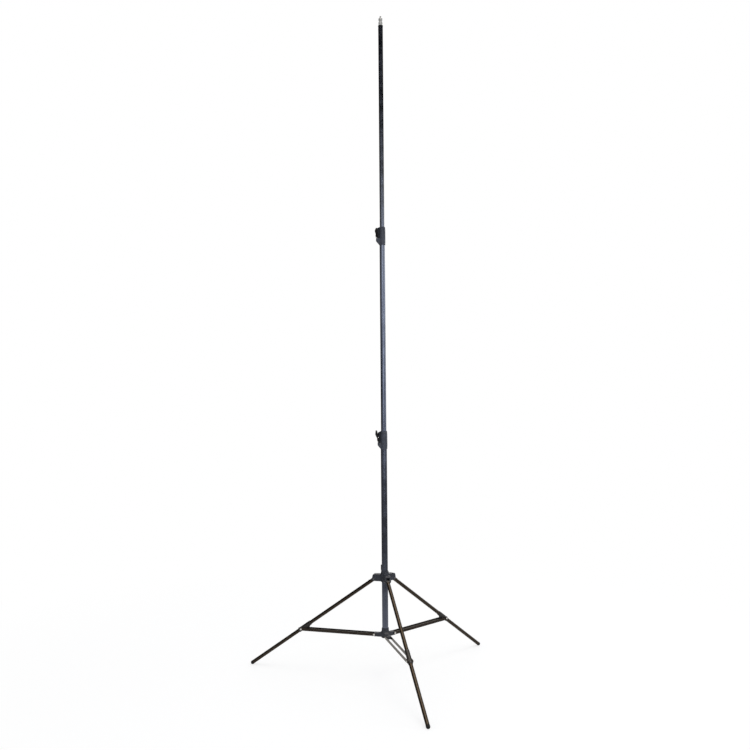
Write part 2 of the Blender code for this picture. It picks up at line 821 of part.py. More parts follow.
def add_top_section():
    """Add the top tube with its foot bush, end ring and stud."""
    bottom = UPPER_COLLAR_TOP - MAST_COLLAR_SEAT - TUBE_OVERLAP
    radius = TOP_TUBE_RADIUS
    slide = new_station("top_section")
    shape = tube("top_tube", radius, MAST_WALL, bottom, TOP_TUBE_TOP, MAST_STEPS)
    finish_part("top_tube", shape, MAST_FINISH, slide)
    bush = foot_bush("top_tube_bush", radius, MIDDLE_TUBE_RADIUS - MAST_WALL, bottom)
    finish_part("top_tube_bush", bush, NYLON_FINISH, slide)
    ring_base = TOP_TUBE_TOP + GAP
    ring_top = ring_base + TOP_RING_HEIGHT
    ring_radius = radius + TOP_RING_OVERHANG
    ring = turned(
        "top_end_ring",
        [
            (ring_radius - TOP_RING_HEIGHT * 0.3, ring_top),
            (ring_radius, ring_top - TOP_RING_HEIGHT * 0.3),
            (ring_radius, ring_base),
            (radius - MAST_WALL, ring_base),
            (radius - MAST_WALL, ring_top),
        ],
        MAST_STEPS,
        True,
    )
    finish_part("top_end_ring", ring, MOULDING_FINISH, slide)
    stud = turned("stud", stud_profile(ring_top), LEG_STEPS)
    finish_part("stud", stud, STEEL_FINISH, slide)


# Spider and leg collar


def around_mast(shape, angle):
    """Turn a working object about the mast axis."""
    return settle(shape, Matrix.Rotation(angle, 4, "Z"))


def leg_angle(index):
    """Direction of a leg about the mast axis."""
    return FIRST_LEG_ANGLE + 2 * math.pi * index / LEG_COUNT


def spider_lug(index):
    """Make one lug of the lower spider, with its pivot at Z = 0."""
    root = BOTTOM_TUBE_RADIUS * 0.8
    hub = BOTTOM_TUBE_RADIUS + SPIDER_WALL
    end = PIVOT_RADIUS + LUG_END_RADIUS
    round_end = LUG_END_RADIUS * 0.96
    outline = [
        (root, LUG_END_RADIUS * 1.8, 0.0),
        (hub, LUG_END_RADIUS * 1.8, 0.001),
        (hub + LUG_END_RADIUS, LUG_END_RADIUS, 0.006),
        (end, LUG_END_RADIUS, round_end),
        (end, -LUG_END_RADIUS, round_end),
        (root, -LUG_END_RADIUS, 0.0),
    ]
    lug = plate(f"spider_lug_{index}", [filleted_outline(outline)], LUG_WIDTH)
    hole = rod(
        "pivot_hole",
        RIVET_HOLE,
        (PIVOT_RADIUS, -LUG_WIDTH, 0.0),
        (PIVOT_RADIUS, LUG_WIDTH, 0.0),
    )
    pocket = box(
        "pocket",
        (hub + SPIDER_POCKET_WALL, SPIDER_POCKET_WALL - LUG_WIDTH / 2, -2 * LUG_END_RADIUS),
        (
            PIVOT_RADIUS - LUG_END_RADIUS,
            LUG_WIDTH / 2 - SPIDER_POCKET_WALL,
            LUG_END_RADIUS - SPIDER_ROOF,
        ),
    )
    return around_mast(cut(lug, hole, pocket), leg_angle(index))


def add_lower_spider(section):
    """Add the fixed spider and the rivets on which the struts turn."""
    bore = BOTTOM_TUBE_RADIUS + GAP
    wall = BOTTOM_TUBE_RADIUS + SPIDER_WALL
    neck = bore + SPIDER_NECK_WALL
    hub = turned(
        "lower_spider",
        [
            (0.0, SPIDER_RISE),
            (neck - SPIDER_NECK_WALL * 0.4, SPIDER_RISE),
            (neck, SPIDER_RISE * 0.93),
            (neck + SPIDER_NECK_WALL * 0.3, SPIDER_RISE * 0.62),
            (wall, SPIDER_RISE * 0.42),
            (wall, -SPIDER_DROP * 0.85),
            (wall - SPIDER_DROP * 0.15, -SPIDER_DROP),
            (0.0, -SPIDER_DROP),
        ],
        MAST_STEPS,
    )
    lugs = [spider_lug(index) for index in range(LEG_COUNT)]
    clear = rod(
        "spider_bore",
        bore,
        (0.0, 0.0, -2 * SPIDER_DROP),
        (0.0, 0.0, 2 * SPIDER_RISE),
        MAST_STEPS,
    )
    spider = cut(fuse(settle(hub), *lugs), clear)
    height = Matrix.Translation((0.0, 0.0, STRUT_PIVOT_HEIGHT))
    finish_part("lower_spider", spider, MOULDING_FINISH, section, height)
    add_pivot_rivets("strut_pivot_rivet", BAR_OUTSIDE, section, height)


def add_pivot_rivets(name, half_grip, parent, height):
    """Add a rivet for each leg, across the lugs of the spider or of the leg collar."""
    pin = rivet(name, RIVET_RADIUS, RIVET_HEAD_RADIUS, RIVET_HEAD_HEIGHT, half_grip)
    mesh = finished_mesh(name, pin)
    for index in range(LEG_COUNT):
        outwards = Matrix.Translation((PIVOT_RADIUS, 0.0, 0.0))
        place = height @ Matrix.Rotation(leg_angle(index), 4, "Z") @ outwards
        finish_part(f"{name}_{index + 1}", mesh, STEEL_FINISH, parent, place)


def clevis(index):
    """Make one clevis of the leg collar, with its pivot at Z = 0."""
    root = BOTTOM_TUBE_RADIUS + LINER_WALL
    end = PIVOT_RADIUS + LUG_END_RADIUS
    round_end = LUG_END_RADIUS * 0.96
    outline = [
        (root, CLEVIS_TOP * 1.06, 0.0),
        (end - LUG_END_RADIUS * 0.5, CLEVIS_TOP, CLEVIS_TOP * 0.35),
        (end, CLEVIS_TOP * 0.1, CLEVIS_TOP * 0.1),
        (end, -LUG_END_RADIUS, round_end),
        (root, -LUG_END_RADIUS, 0.0),
    ]
    block = plate(f"clevis_{index}", [filleted_outline(outline)], CLEVIS_WIDTH)
    block = soften(block, CLEVIS_CHEEK * 0.25)
    hole = rod(
        "pivot_hole",
        RIVET_HOLE,
        (PIVOT_RADIUS, -CLEVIS_WIDTH, 0.0),
        (PIVOT_RADIUS, CLEVIS_WIDTH, 0.0),
    )
    slot = box(
        "slot",
        (PIVOT_RADIUS - LUG_END_RADIUS - 4 * GAP, -CLEVIS_SLOT / 2, -3 * LUG_END_RADIUS),
        (2 * PIVOT_RADIUS, CLEVIS_SLOT / 2, CLEVIS_TOP - CLEVIS_ROOF),
    )
    return around_mast(cut(block, hole, slot), leg_angle(index))


def add_leg_collar(knob_mesh):
    """Add the collar that slides on the bottom tube, with its liner, rivets and lock."""
    liner_bore = BOTTOM_TUBE_RADIUS + GAP
    bore = liner_bore + LINER_WALL + GAP
    wall = bore + COLLAR_WALL
    neck = bore + COLLAR_NECK_WALL
    sleeve = turned(
        "leg_collar",
        [
            (0.0, COLLAR_RISE),
            (neck - COLLAR_NECK_WALL * 0.4, COLLAR_RISE),
            (neck, COLLAR_RISE * 0.95),
            (neck + COLLAR_NECK_WALL * 0.4, COLLAR_RISE * 0.75),
            (wall, COLLAR_RISE * 0.60),
            (wall, -COLLAR_DROP * 0.85),
            (wall - COLLAR_DROP * 0.15, -COLLAR_DROP),
            (0.0, -COLLAR_DROP),
        ],
        MAST_STEPS,
    )
    clevises = [clevis(index) for index in range(LEG_COUNT)]
    face = wall + LEG_LOCK_REACH
    boss_radius = SCREW_RADIUS + INSERT_WALL + 2 * GAP + LOCK_BOSS_WALL
    boss = rod("lock_boss", boss_radius, (bore, 0.0, LEG_LOCK_RISE), (face, 0.0, LEG_LOCK_RISE), 16)
    hole, pocket = lock_bores("leg_lock", face, LEG_LOCK_RISE)
    clear = rod(
        "leg_collar_bore",
        bore,
        (0.0, 0.0, -2 * COLLAR_DROP),
        (0.0, 0.0, 2 * COLLAR_RISE),
        MAST_STEPS,
    )
    body = fuse(settle(sleeve), *clevises, around_mast(boss, LEG_LOCK_ANGLE))
    body = cut(
        body,
        clear,
        around_mast(hole, LEG_LOCK_ANGLE),
        around_mast(pocket, LEG_LOCK_ANGLE),
    )
    slide = new_station("leg_collar_slide", None, Matrix.Translation((0, 0, LEG_PIVOT_HEIGHT)))
    finish_part("leg_collar", body, MOULDING_FINISH, slide)
    liner = tube(
        "leg_collar_liner",
        liner_bore + LINER_WALL,
        LINER_WALL,
        GAP - COLLAR_DROP,
        COLLAR_RISE - GAP,
        MAST_STEPS,
    )
    pad_hole = rod(
        "liner_hole",
        SCREW_RADIUS + GAP,
        (BOTTOM_TUBE_RADIUS * 0.8, 0.0, LEG_LOCK_RISE),
        (2 * bore, 0.0, LEG_LOCK_RISE),
    )
    liner = cut(settle(liner), around_mast(pad_hole, LEG_LOCK_ANGLE))
    finish_part("leg_collar_liner", liner, NYLON_FINISH, slide)
    add_pivot_rivets("leg_pivot_rivet", CLEVIS_WIDTH / 2, slide, Matrix.Identity(4))
    station, fixed = lock_stations(
        "leg_knob", slide, LEG_LOCK_ANGLE, face, LEG_LOCK_RISE, LEG_KNOB_TURN
    )
    lock_pieces("leg_lock", station, face, BOTTOM_TUBE_RADIUS, knob_mesh, fixed)
    return slide


# Legs: each shape lies along +X from the pivot, with +Z on its upper side


def along_leg(shape):
    """Turn a working object from the Z axis to the X axis, so that its top points to the foot."""
    return settle(shape, Matrix.Rotation(math.pi / 2, 4, "Y"))


def leg_eye():
    """Make the eye fitting that joins a leg tube to its clevis."""
    shoulder_end = EYE_SHOULDER_START + EYE_SHOULDER_LENGTH
    spigot = LEG_TUBE_RADIUS - LEG_WALL - GAP
    end = shoulder_end + EYE_SPIGOT_LENGTH
    round_part = turned(
        "eye_shank",
        [
            (0.0, end),
            (spigot - 0.0008, end),
            (spigot, end - 0.0008),
            (spigot, shoulder_end),
            (LEG_TUBE_RADIUS, shoulder_end),
            (LEG_TUBE_RADIUS, EYE_SHOULDER_START),
            (0.0, EYE_SHOULDER_START),
        ],
        LEG_STEPS,
    )
    tongue_height = 2 * (LUG_END_RADIUS - GAP)
    tongue = plate(
        "eye_tongue",
        [bar_outline(EYE_SHOULDER_START, tongue_height, 2 * ARC_STEPS)],
        EYE_WIDTH,
    )
    trim = box(
        "eye_trim",
        (EYE_SHOULDER_START + EYE_SHOULDER_LENGTH * 0.5, -EYE_WIDTH, -tongue_height),
        (2 * end, EYE_WIDTH, tongue_height),
    )
    hole = rod("pivot_hole", RIVET_HOLE, (0.0, -EYE_WIDTH, 0.0), (0.0, EYE_WIDTH, 0.0))
    return cut(fuse(along_leg(round_part), cut(tongue, trim)), hole)


def leg_tube():
    """Make a leg tube with the hole for the pivot of its strut."""
    start = EYE_SHOULDER_START + EYE_SHOULDER_LENGTH + GAP
    end = LEG_REACH - FOOT_RIM_LENGTH - GAP
    shape = along_leg(tube("leg_tube", LEG_TUBE_RADIUS, LEG_WALL, start, end, LEG_STEPS))
    pivot = rod(
        "pivot_hole",
        RIVET_HOLE,
        (BRACKET_DISTANCE, -LEG_TUBE_OD, 0.0),
        (BRACKET_DISTANCE, LEG_TUBE_OD, 0.0),
    )
    return cut(shape, pivot)


def bracket_web():
    """Make the web that fills the corner between a leg and its strut."""
    inwards = Vector((-math.cos(LEG_SLOPE), -math.sin(LEG_SLOPE)))
    upwards = Vector((-math.sin(LEG_SLOPE), math.cos(LEG_SLOPE)))
    pivot = Vector((BRACKET_DISTANCE, 0.0))
    heel = pivot - upwards * WEB_DROP
    toe = heel + inwards * WEB_REACH
    skin = -LEG_TUBE_RADIUS
    rise = (skin - toe.y) / upwards.y
    crest = toe + upwards * rise
    waist = (toe + crest) / 2 - inwards * WEB_REACH * 0.16
    corners = [
        (pivot.x, skin * 0.4, 0.0),
        (heel.x, heel.y, 0.0),
        (toe.x, toe.y, 0.002),
        (waist.x, waist.y, WEB_REACH * 0.25),
        (crest.x, crest.y, 0.0),
        (crest.x, skin * 0.4, 0.0),
    ]
    return plate("bracket_web", [filleted_outline(corners)], WEB_THICKNESS)


def leg_bracket():
    """Make the bracket that holds a strut on its leg."""
    inner = BRACKET_DISTANCE - BRACKET_INNER_LENGTH
    outer = BRACKET_DISTANCE + BRACKET_OUTER_LENGTH
    bore = LEG_TUBE_RADIUS + GAP
    chamfer = BRACKET_END_CHAMFER
    sleeve = turned(
        "bracket_sleeve",
        [
            (0.0, outer),
            (BRACKET_RADIUS - chamfer, outer),
            (BRACKET_RADIUS, outer - chamfer),
            (BRACKET_RADIUS, inner + chamfer),
            (BRACKET_RADIUS - chamfer, inner),
            (0.0, inner),
        ],
        LEG_STEPS,
    )
    boss = rod(
        "pivot_boss",
        LUG_END_RADIUS,
        (BRACKET_DISTANCE, -LUG_WIDTH / 2, 0.0),
        (BRACKET_DISTANCE, LUG_WIDTH / 2, 0.0),
        LEG_STEPS,
    )
    body = fuse(along_leg(sleeve), boss, bracket_web())
    clear = rod(
        "bracket_bore",
        bore,
        (inner - WEB_REACH, 0.0, 0.0),
        (outer + WEB_REACH, 0.0, 0.0),
        LEG_STEPS,
    )
    pivot = rod(
        "pivot_hole",
        RIVET_HOLE,
        (BRACKET_DISTANCE, -LUG_WIDTH, 0.0),
        (BRACKET_DISTANCE, LUG_WIDTH, 0.0),
    )
    return cut(body, clear, pivot)


def leg_foot():
    """Make the rubber foot, with the flat on which it stands."""
    rim = LEG_REACH - FOOT_RIM_LENGTH
    end = rim - FOOT_SPIGOT_LENGTH
    spigot = LEG_TUBE_RADIUS - LEG_WALL - GAP
    steps = 4
    dome = []
    for step in range(steps + 1):
        angle = math.pi / 2 * (1.0 - step / steps)
        point = (FOOT_RADIUS * math.cos(angle), LEG_REACH + FOOT_RADIUS * math.sin(angle))
        dome.append((0.0, point[1]) if step == 0 else point)
    profile = dome + [
        (FOOT_RADIUS, rim + FOOT_PROUD * 2),
        (FOOT_RADIUS - FOOT_PROUD, rim),
        (spigot, rim),
        (spigot, end + FOOT_SPIGOT_LENGTH * 0.12),
        (spigot * 0.8, end),
        (0.0, end),
    ]
    shape = along_leg(turned("leg_foot", profile, LEG_STEPS))
    floor = box(
        "floor",
        (-3 * FOOT_RADIUS, -3 * FOOT_RADIUS, -6 * FOOT_RADIUS - FOOT_CENTRE_HEIGHT),
        (3 * FOOT_RADIUS, 3 * FOOT_RADIUS, -FOOT_CENTRE_HEIGHT),
    )
    level = Matrix.Translation((LEG_REACH, 0.0, 0.0)) @ Matrix.Rotation(-LEG_SLOPE, 4, "Y")
    return cut(shape, settle(floor, level))


def shared_meshes(prefix, pieces):
    """Bake pieces of (name, shape, finish) once, for several parts to share."""
    meshes = {}
    for name, shape, finish in pieces:
        mesh = finished_mesh(prefix + name, shape)
        mesh.materials.append(new_material(prefix + name, *finish))
        meshes[name] = mesh
    return meshes


def leg_meshes():
    """Bake the pieces of a leg."""
    shank = rod(
        "pivot_shank",
        RIVET_RADIUS,
        (BRACKET_DISTANCE, -LUG_WIDTH / 2, 0.0),
        (BRACKET_DISTANCE, LUG_WIDTH / 2, 0.0),
    )
    pieces = [
        ("tube", leg_tube(), LEG_FINISH),
        ("eye", leg_eye(), MOULDING_FINISH),
        ("bracket", leg_bracket(), MOULDING_FINISH),
        ("foot", leg_foot(), RUBBER_FINISH),
        ("pivot_shank", shank, STEEL_FINISH),
    ]
    return shared_meshes("leg_", pieces)


def strut_meshes():
    """Bake the bar of a strut and the end of its rivet."""
    holes = [circle_outline(x, 0.0, RIVET_HOLE) for x in (0.0, STRUT_LENGTH)]
    bar = plate("bar", [bar_outline(STRUT_LENGTH, BAR_HEIGHT), *holes], BAR_THICKNESS)
    end = rivet_end("rivet_end", LUG_WIDTH / 2 + GAP, BAR_OUTSIDE)
    return shared_meshes("strut_", [("bar", bar, LEG_FINISH), ("rivet", end, STEEL_FINISH)])


def add_legs(slide, section):
    """Add the legs to the sliding collar and the struts to the spider."""
    leg_pieces = leg_meshes()
    strut_pieces = strut_meshes()
    slope = Matrix.Rotation(LEG_SLOPE, 4, "Y")
    lift = Matrix.Translation((0.0, 0.0, STRUT_PIVOT_HEIGHT))
    for index in range(LEG_COUNT):
        number = index + 1
        outwards = Matrix.Rotation(leg_angle(index), 4, "Z")
        outwards = outwards @ Matrix.Translation((PIVOT_RADIUS, 0.0, 0.0))
        hinge = new_station(f"leg_{number}_hinge", slide, outwards)
        for name, mesh in leg_pieces.items():
            finish_part(f"leg_{number}_{name}", mesh, None, hinge, slope)
        hinge = new_station(f"strut_{number}_hinge", section, lift @ outwards)
        for side, label in ((-1.0, "right"), (1.0, "left")):
            beside = Matrix.Translation((0.0, side * BAR_OFFSET, 0.0))
            finish_part(f"strut_{number}_bar_{label}", strut_pieces["bar"], None, hinge, beside)
            flip = Matrix.Rotation((1.0 - side) * math.pi / 2, 4, "X")
            outer = Matrix.Translation((STRUT_LENGTH, 0.0, 0.0)) @ flip
            finish_part(f"strut_{number}_rivet_{label}", strut_pieces["rivet"], None, hinge, outer)


def build_stand():
    """Build the whole stand."""
    knob_mesh = finished_mesh("lever_knob", lever_knob("lever_knob"))
    section = add_bottom_section()
    middle = add_middle_section()
    add_top_section()
    mast_joint(
        "lower",
        section,
        BOTTOM_TUBE_RADIUS,
        MIDDLE_TUBE_RADIUS,
        LOWER_COLLAR_TOP,
        LOWER_KNOB_TURN,
        knob_mesh,
    )
    mast_joint(
        "upper",
        middle,
        MIDDLE_TUBE_RADIUS,
        TOP_TUBE_RADIUS,
        UPPER_COLLAR_TOP,
        UPPER_KNOB_TURN,
        knob_mesh,
    )
    add_lower_spider(section)
    slide = add_leg_collar(knob_mesh)
    add_legs(slide, section)
    bpy.context.view_layer.update()


build_stand()
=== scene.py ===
"""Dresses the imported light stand: finishes, fine pieces, floor, lamps and camera.

Every fine piece is modelled at its place in the stand's own frame, in metres, and rides on the
body that carries it.
"""

import json
import logging
import math
from collections.abc import Callable, Iterator
from contextlib import contextmanager
from dataclasses import dataclass, field
from enum import Enum

import bpy
from mathutils import Matrix, Vector


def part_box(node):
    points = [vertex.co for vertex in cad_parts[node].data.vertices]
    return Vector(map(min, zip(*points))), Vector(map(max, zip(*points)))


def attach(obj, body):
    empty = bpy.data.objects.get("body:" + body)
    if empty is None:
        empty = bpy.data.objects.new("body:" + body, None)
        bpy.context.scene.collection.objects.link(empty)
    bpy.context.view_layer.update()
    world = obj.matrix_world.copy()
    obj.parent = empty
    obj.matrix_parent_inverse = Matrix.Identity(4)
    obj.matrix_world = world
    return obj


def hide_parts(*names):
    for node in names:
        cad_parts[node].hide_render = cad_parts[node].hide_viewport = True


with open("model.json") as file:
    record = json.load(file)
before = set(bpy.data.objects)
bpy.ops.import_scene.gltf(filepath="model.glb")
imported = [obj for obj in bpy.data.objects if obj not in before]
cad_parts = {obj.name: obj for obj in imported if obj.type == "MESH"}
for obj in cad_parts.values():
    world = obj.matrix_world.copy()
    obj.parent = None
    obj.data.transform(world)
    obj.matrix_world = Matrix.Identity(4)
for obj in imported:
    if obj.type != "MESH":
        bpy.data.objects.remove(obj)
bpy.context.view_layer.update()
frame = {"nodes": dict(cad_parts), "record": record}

LOG = logging.getLogger("light_stand")

Colour = tuple[float, float, float]
Point = tuple[float, float, float]
Profile = list[tuple[float, float]]
Socket = bpy.types.NodeSocket
Piece = bpy.types.Object

WELD = 0.000002  # Distance at which two vertices count as one
FLAT = math.radians(1.0)  # Angle below which two faces count as one
SPECULAR = "Specular IOR Level"


class Rest(Enum):
    """Which coordinates a finish's pattern follows."""

    PLACE = "place"
    GRAIN = "grain"


class Lay(Enum):
    """How the marks of a finish run on a piece."""

    ALONG = (1.0, 1.0, 0.015)
    AROUND = (0.03, 0.03, 1.0)
    EVEN = (1.0, 1.0, 1.0)


# Finishes


class NodeBench:
    """Lays out the nodes of one material or world, from left to right."""

    def __init__(self, owner: bpy.types.Material | bpy.types.World) -> None:
        """Open the nodes.

        Args:
            owner: The new material or world.
        """
        owner.use_nodes = True
        self.owner = owner
        self.tree = owner.node_tree
        self.shader = self.tree.nodes.get("Principled BSDF")
        self.column = 0

    def add(self, kind: str, **settings: object) -> bpy.types.Node:
        """Add a node.

        Args:
            kind: The node's type name.
            **settings: Properties to set on the node.

        Returns:
            The new node.
        """
        node = self.tree.nodes.new(kind)
        self.column -= 1
        node.location = (self.column * 180.0, (self.column % 3) * 160.0)
        for key, value in settings.items():
            setattr(node, key, value)
        return node

    def link(self, start: Socket, end: Socket) -> None:
        """Join two sockets."""
        self.tree.links.new(start, end)

    def coordinates(self, rest: Rest, lay: Lay = Lay.EVEN) -> Socket:
        """Give stretched coordinates for a pattern.

        Args:
            rest: Whether the pattern lies in the stand's frame or in the piece's own grain.
            lay: How its marks run.

        Returns:
            The socket with the coordinates.
        """
        if rest is Rest.GRAIN:
            source = self.add("ShaderNodeAttribute", attribute_name="grain").outputs["Vector"]
        else:
            source = self.add("ShaderNodeTexCoord").outputs["Object"]
        mapping = self.add("ShaderNodeMapping", vector_type="POINT")
        mapping.inputs["Scale"].default_value = lay.value
        self.link(source, mapping.inputs["Vector"])
        return mapping.outputs["Vector"]

    def noise(
        self, vector: Socket, scale: float, detail: float = 3.0, rough: float = 0.55
    ) -> Socket:
        """Add a noise pattern.

        Args:
            vector: Coordinates of the pattern.
            scale: Marks per metre.
            detail: Number of finer layers.
            rough: Strength of the finer layers.

        Returns:
            The socket with values round 0.5.
        """
        node = self.add("ShaderNodeTexNoise")
        node.inputs["Scale"].default_value = scale
        node.inputs["Detail"].default_value = detail
        node.inputs["Roughness"].default_value = rough
        self.link(vector, node.inputs["Vector"])
        return node.outputs["Fac"]

    def spread(
        self, value: Socket, low: float, high: float, to_low: float, to_high: float
    ) -> Socket:
        """Stretch a value from one range to another.

        Args:
            value: The socket to read.
            low: Value that becomes to_low.
            high: Value that becomes to_high.
            to_low: Result at low.
            to_high: Result at high.

        Returns:
            The socket with the result.
        """
        node = self.add("ShaderNodeMapRange", interpolation_type="SMOOTHSTEP")
        for name, number in zip(
            ("From Min", "From Max", "To Min", "To Max"), (low, high, to_low, to_high)
        ):
            node.inputs[name].default_value = number
        self.link(value, node.inputs["Value"])
        return node.outputs["Result"]

    def mixed(self, factor: Socket, first: object, second: object) -> Socket:
        """Mix two colours.

        Args:
            factor: Share of the second colour.
            first: A colour or a socket.
            second: A colour or a socket.

        Returns:
            The socket with the mixed colour.
        """
        node = self.add("ShaderNodeMix", data_type="RGBA")
        self.link(factor, node.inputs["Factor"])
        sockets = (socket for socket in node.inputs if socket.type == "RGBA")
        for socket, value in zip(sockets, (first, second)):
            if isinstance(value, Socket):
                self.link(value, socket)
            else:
                socket.default_value = (*value, 1.0)
        return next(socket for socket in node.outputs if socket.type == "RGBA")

    def mottled(self, pattern: Socket, colour: Colour, low: float, high: float) -> Socket:
        """Vary a colour's depth with a pattern.

        Args:
            pattern: The socket with values round 0.5.
            colour: The colour in the middle.
            low: Factor where the pattern is low.
            high: Factor where the pattern is high.

        Returns:
            The socket with the colour.
        """
        share = self.spread(pattern, 0.30, 0.70, 0.0, 1.0)
        dark, light = (tuple(depth * c for c in colour) for depth in (low, high))
        return self.mixed(share, dark, light)

    def combine(self, operation: str, first: Socket, *others: Socket) -> Socket:
        """Combine values one after another.

        Args:
            operation: The math node's operation, such as ADD.
            first: The first value.
            *others: The values that follow.

        Returns:
            The socket with the result.
        """
        for other in others:
            node = self.add("ShaderNodeMath", operation=operation)
            self.link(first, node.inputs[0])
            self.link(other, node.inputs[1])
            first = node.outputs["Value"]
        return first

    def sent_on(self, path: bpy.types.Node) -> Socket:
        """Tell rays that left a glossy or a clear surface.

        Args:
            path: The node with the ray's kind.

        Returns:
            The socket with 1 for such a ray and 0 for another.
        """
        return self.combine(
            "MAXIMUM", path.outputs["Is Glossy Ray"], path.outputs["Is Transmission Ray"]
        )

    def show(self, shader: Socket) -> None:
        """Send a shader to the output."""
        output = next(node for node in self.tree.nodes if node.name.endswith("Output"))
        self.link(shader, output.inputs["Surface"])

    def bump(self, height: Socket, distance: float) -> None:
        """Give the surface a relief.

        Args:
            height: The socket with heights round 0.5.
            distance: Depth of the relief in metres.
        """
        node = self.add("ShaderNodeBump")
        node.inputs["Distance"].default_value = distance
        self.link(height, node.inputs["Height"])
        self.link(node.outputs["Normal"], self.shader.inputs["Normal"])

    def worn_edges(self, radius: float, vector: Socket) -> Socket:
        """Find the outer edges of a piece, broken up by noise.

        Args:
            radius: Width of the worn band in metres.
            vector: Coordinates of the noise.

        Returns:
            The socket with 1 on worn edges and 0 elsewhere.
        """
        bevel = self.add("ShaderNodeBevel", samples=4)
        bevel.inputs["Radius"].default_value = radius
        plain = self.add("ShaderNodeNewGeometry")
        dot = self.add("ShaderNodeVectorMath", operation="DOT_PRODUCT")
        self.link(bevel.outputs["Normal"], dot.inputs[0])
        self.link(plain.outputs["Normal"], dot.inputs[1])
        edge = self.spread(dot.outputs["Value"], 0.985, 0.80, 0.0, 1.0)
        patches = self.spread(self.noise(vector, 260.0), 0.42, 0.66, 0.0, 1.0)
        return self.combine("MULTIPLY", edge, patches)

    def finish(self, body: Socket, rough: Socket, **levels: float) -> bpy.types.Material:
        """Feed the shader and give up the material.

        Args:
            body: Its base colour.
            rough: Its roughness.
            **levels: Plain levels of its other inputs.

        Returns:
            The material.
        """
        self.link(body, self.shader.inputs["Base Color"])
        self.link(rough, self.shader.inputs["Roughness"])
        for name, level in levels.items():
            self.shader.inputs[name].default_value = level
        return self.owner


@dataclass(frozen=True)
class CoatedTube:
    """Satin coating on a drawn tube: fine lines along it, soft clouds and a few rub marks."""

    name: str
    colour: Colour
    rubbed: Colour
    rest: Rest = Rest.GRAIN
    metallic: float = 0.98
    roughness: float = 0.24
    rub_share: float = 0.62
    relief: float = 0.000006

    def build(self) -> bpy.types.Material:
        """Make the material.

        Returns:
            The new material.
        """
        bench = NodeBench(bpy.data.materials.new(self.name))
        along = bench.coordinates(self.rest, Lay.ALONG)
        even = bench.coordinates(self.rest)
        lines = bench.noise(along, scale=2200.0, detail=2.0)
        clouds = bench.noise(even, scale=18.0, detail=4.0)
        peel = bench.noise(even, scale=900.0, detail=2.0)
        scuffs = bench.noise(along, scale=420.0, detail=5.0, rough=0.7)
        rubbed = bench.spread(scuffs, self.rub_share, self.rub_share + 0.10, 0.0, 0.55)
        body = bench.mixed(rubbed, bench.mottled(clouds, self.colour, 0.80, 1.18), self.rubbed)
        rough = bench.combine(
            "ADD",
            bench.spread(clouds, 0.30, 0.70, self.roughness - 0.05, self.roughness + 0.05),
            bench.spread(lines, 0.30, 0.70, -0.03, 0.03),
        )
        bench.bump(bench.combine("ADD", bench.spread(lines, 0.2, 0.8, 0.0, 0.5), peel), self.relief)
        return bench.finish(body, rough, Metallic=self.metallic)


@dataclass(frozen=True)
class Moulding:
    """Glass-filled nylon moulding: fine grain, mottled gloss and paler worn edges."""

    name: str
    colour: Colour
    worn: Colour
    roughness: float = 0.46
    specular: float = 0.5
    worn_width: float = 0.0016
    relief: float = 0.00006

    def build(self) -> bpy.types.Material:
        """Make the material.

        Returns:
            The new material.
        """
        bench = NodeBench(bpy.data.materials.new(self.name))
        even = bench.coordinates(Rest.PLACE)
        grain = bench.noise(even, scale=2600.0, detail=2.0)
        mottle = bench.noise(even, scale=90.0, detail=4.0)
        body = bench.mottled(mottle, self.colour, 0.75, 1.25)
        body = bench.mixed(bench.worn_edges(self.worn_width, even), body, self.worn)
        rough = bench.combine(
            "ADD",
            bench.spread(mottle, 0.30, 0.70, self.roughness - 0.06, self.roughness + 0.06),
            bench.spread(grain, 0.20, 0.80, -0.04, 0.04),
        )
        bench.bump(grain, self.relief)
        return bench.finish(body, rough, **{SPECULAR: self.specular})


@dataclass(frozen=True)
class BareMetal:
    """Bare or plated metal with fine tool marks and a little tarnish."""

    name: str
    colour: Colour
    tarnish: Colour
    lay: Lay = Lay.EVEN
    roughness: float = 0.24
    metallic: float = 1.0
    relief: float = 0.000012

    def build(self) -> bpy.types.Material:
        """Make the material.

        Returns:
            The new material.
        """
        bench = NodeBench(bpy.data.materials.new(self.name))
        marks = bench.noise(bench.coordinates(Rest.PLACE, self.lay), scale=3200.0, detail=2.0)
        stains = bench.noise(bench.coordinates(Rest.PLACE), scale=240.0, detail=4.0)
        body = bench.mixed(bench.spread(stains, 0.45, 0.75, 0.0, 0.6), self.colour, self.tarnish)
        rough = bench.combine(
            "ADD",
            bench.spread(stains, 0.30, 0.70, self.roughness - 0.05, self.roughness + 0.08),
            bench.spread(marks, 0.20, 0.80, -0.04, 0.04),
        )
        bench.bump(marks, self.relief)
        return bench.finish(body, rough, Metallic=self.metallic)


@dataclass(frozen=True)
class SoftRubber:
    """Dull rubber with a fine bloom and dust that settled on it."""

    name: str
    colour: Colour
    dust: Colour
    roughness: float = 0.82
    specular: float = 0.35
    relief: float = 0.00008

    def build(self) -> bpy.types.Material:
        """Make the material.

        Returns:
            The new material.
        """
        bench = NodeBench(bpy.data.materials.new(self.name))
        even = bench.coordinates(Rest.PLACE)
        skin = bench.noise(even, scale=1300.0, detail=3.0)
        bloom = bench.noise(even, scale=130.0, detail=5.0)
        body = bench.mixed(bench.spread(bloom, 0.48, 0.78, 0.0, 0.7), self.colour, self.dust)
        rough = bench.spread(skin, 0.25, 0.75, self.roughness - 0.08, self.roughness + 0.08)
        bench.bump(skin, self.relief)
        return bench.finish(body, rough, **{SPECULAR: self.specular})


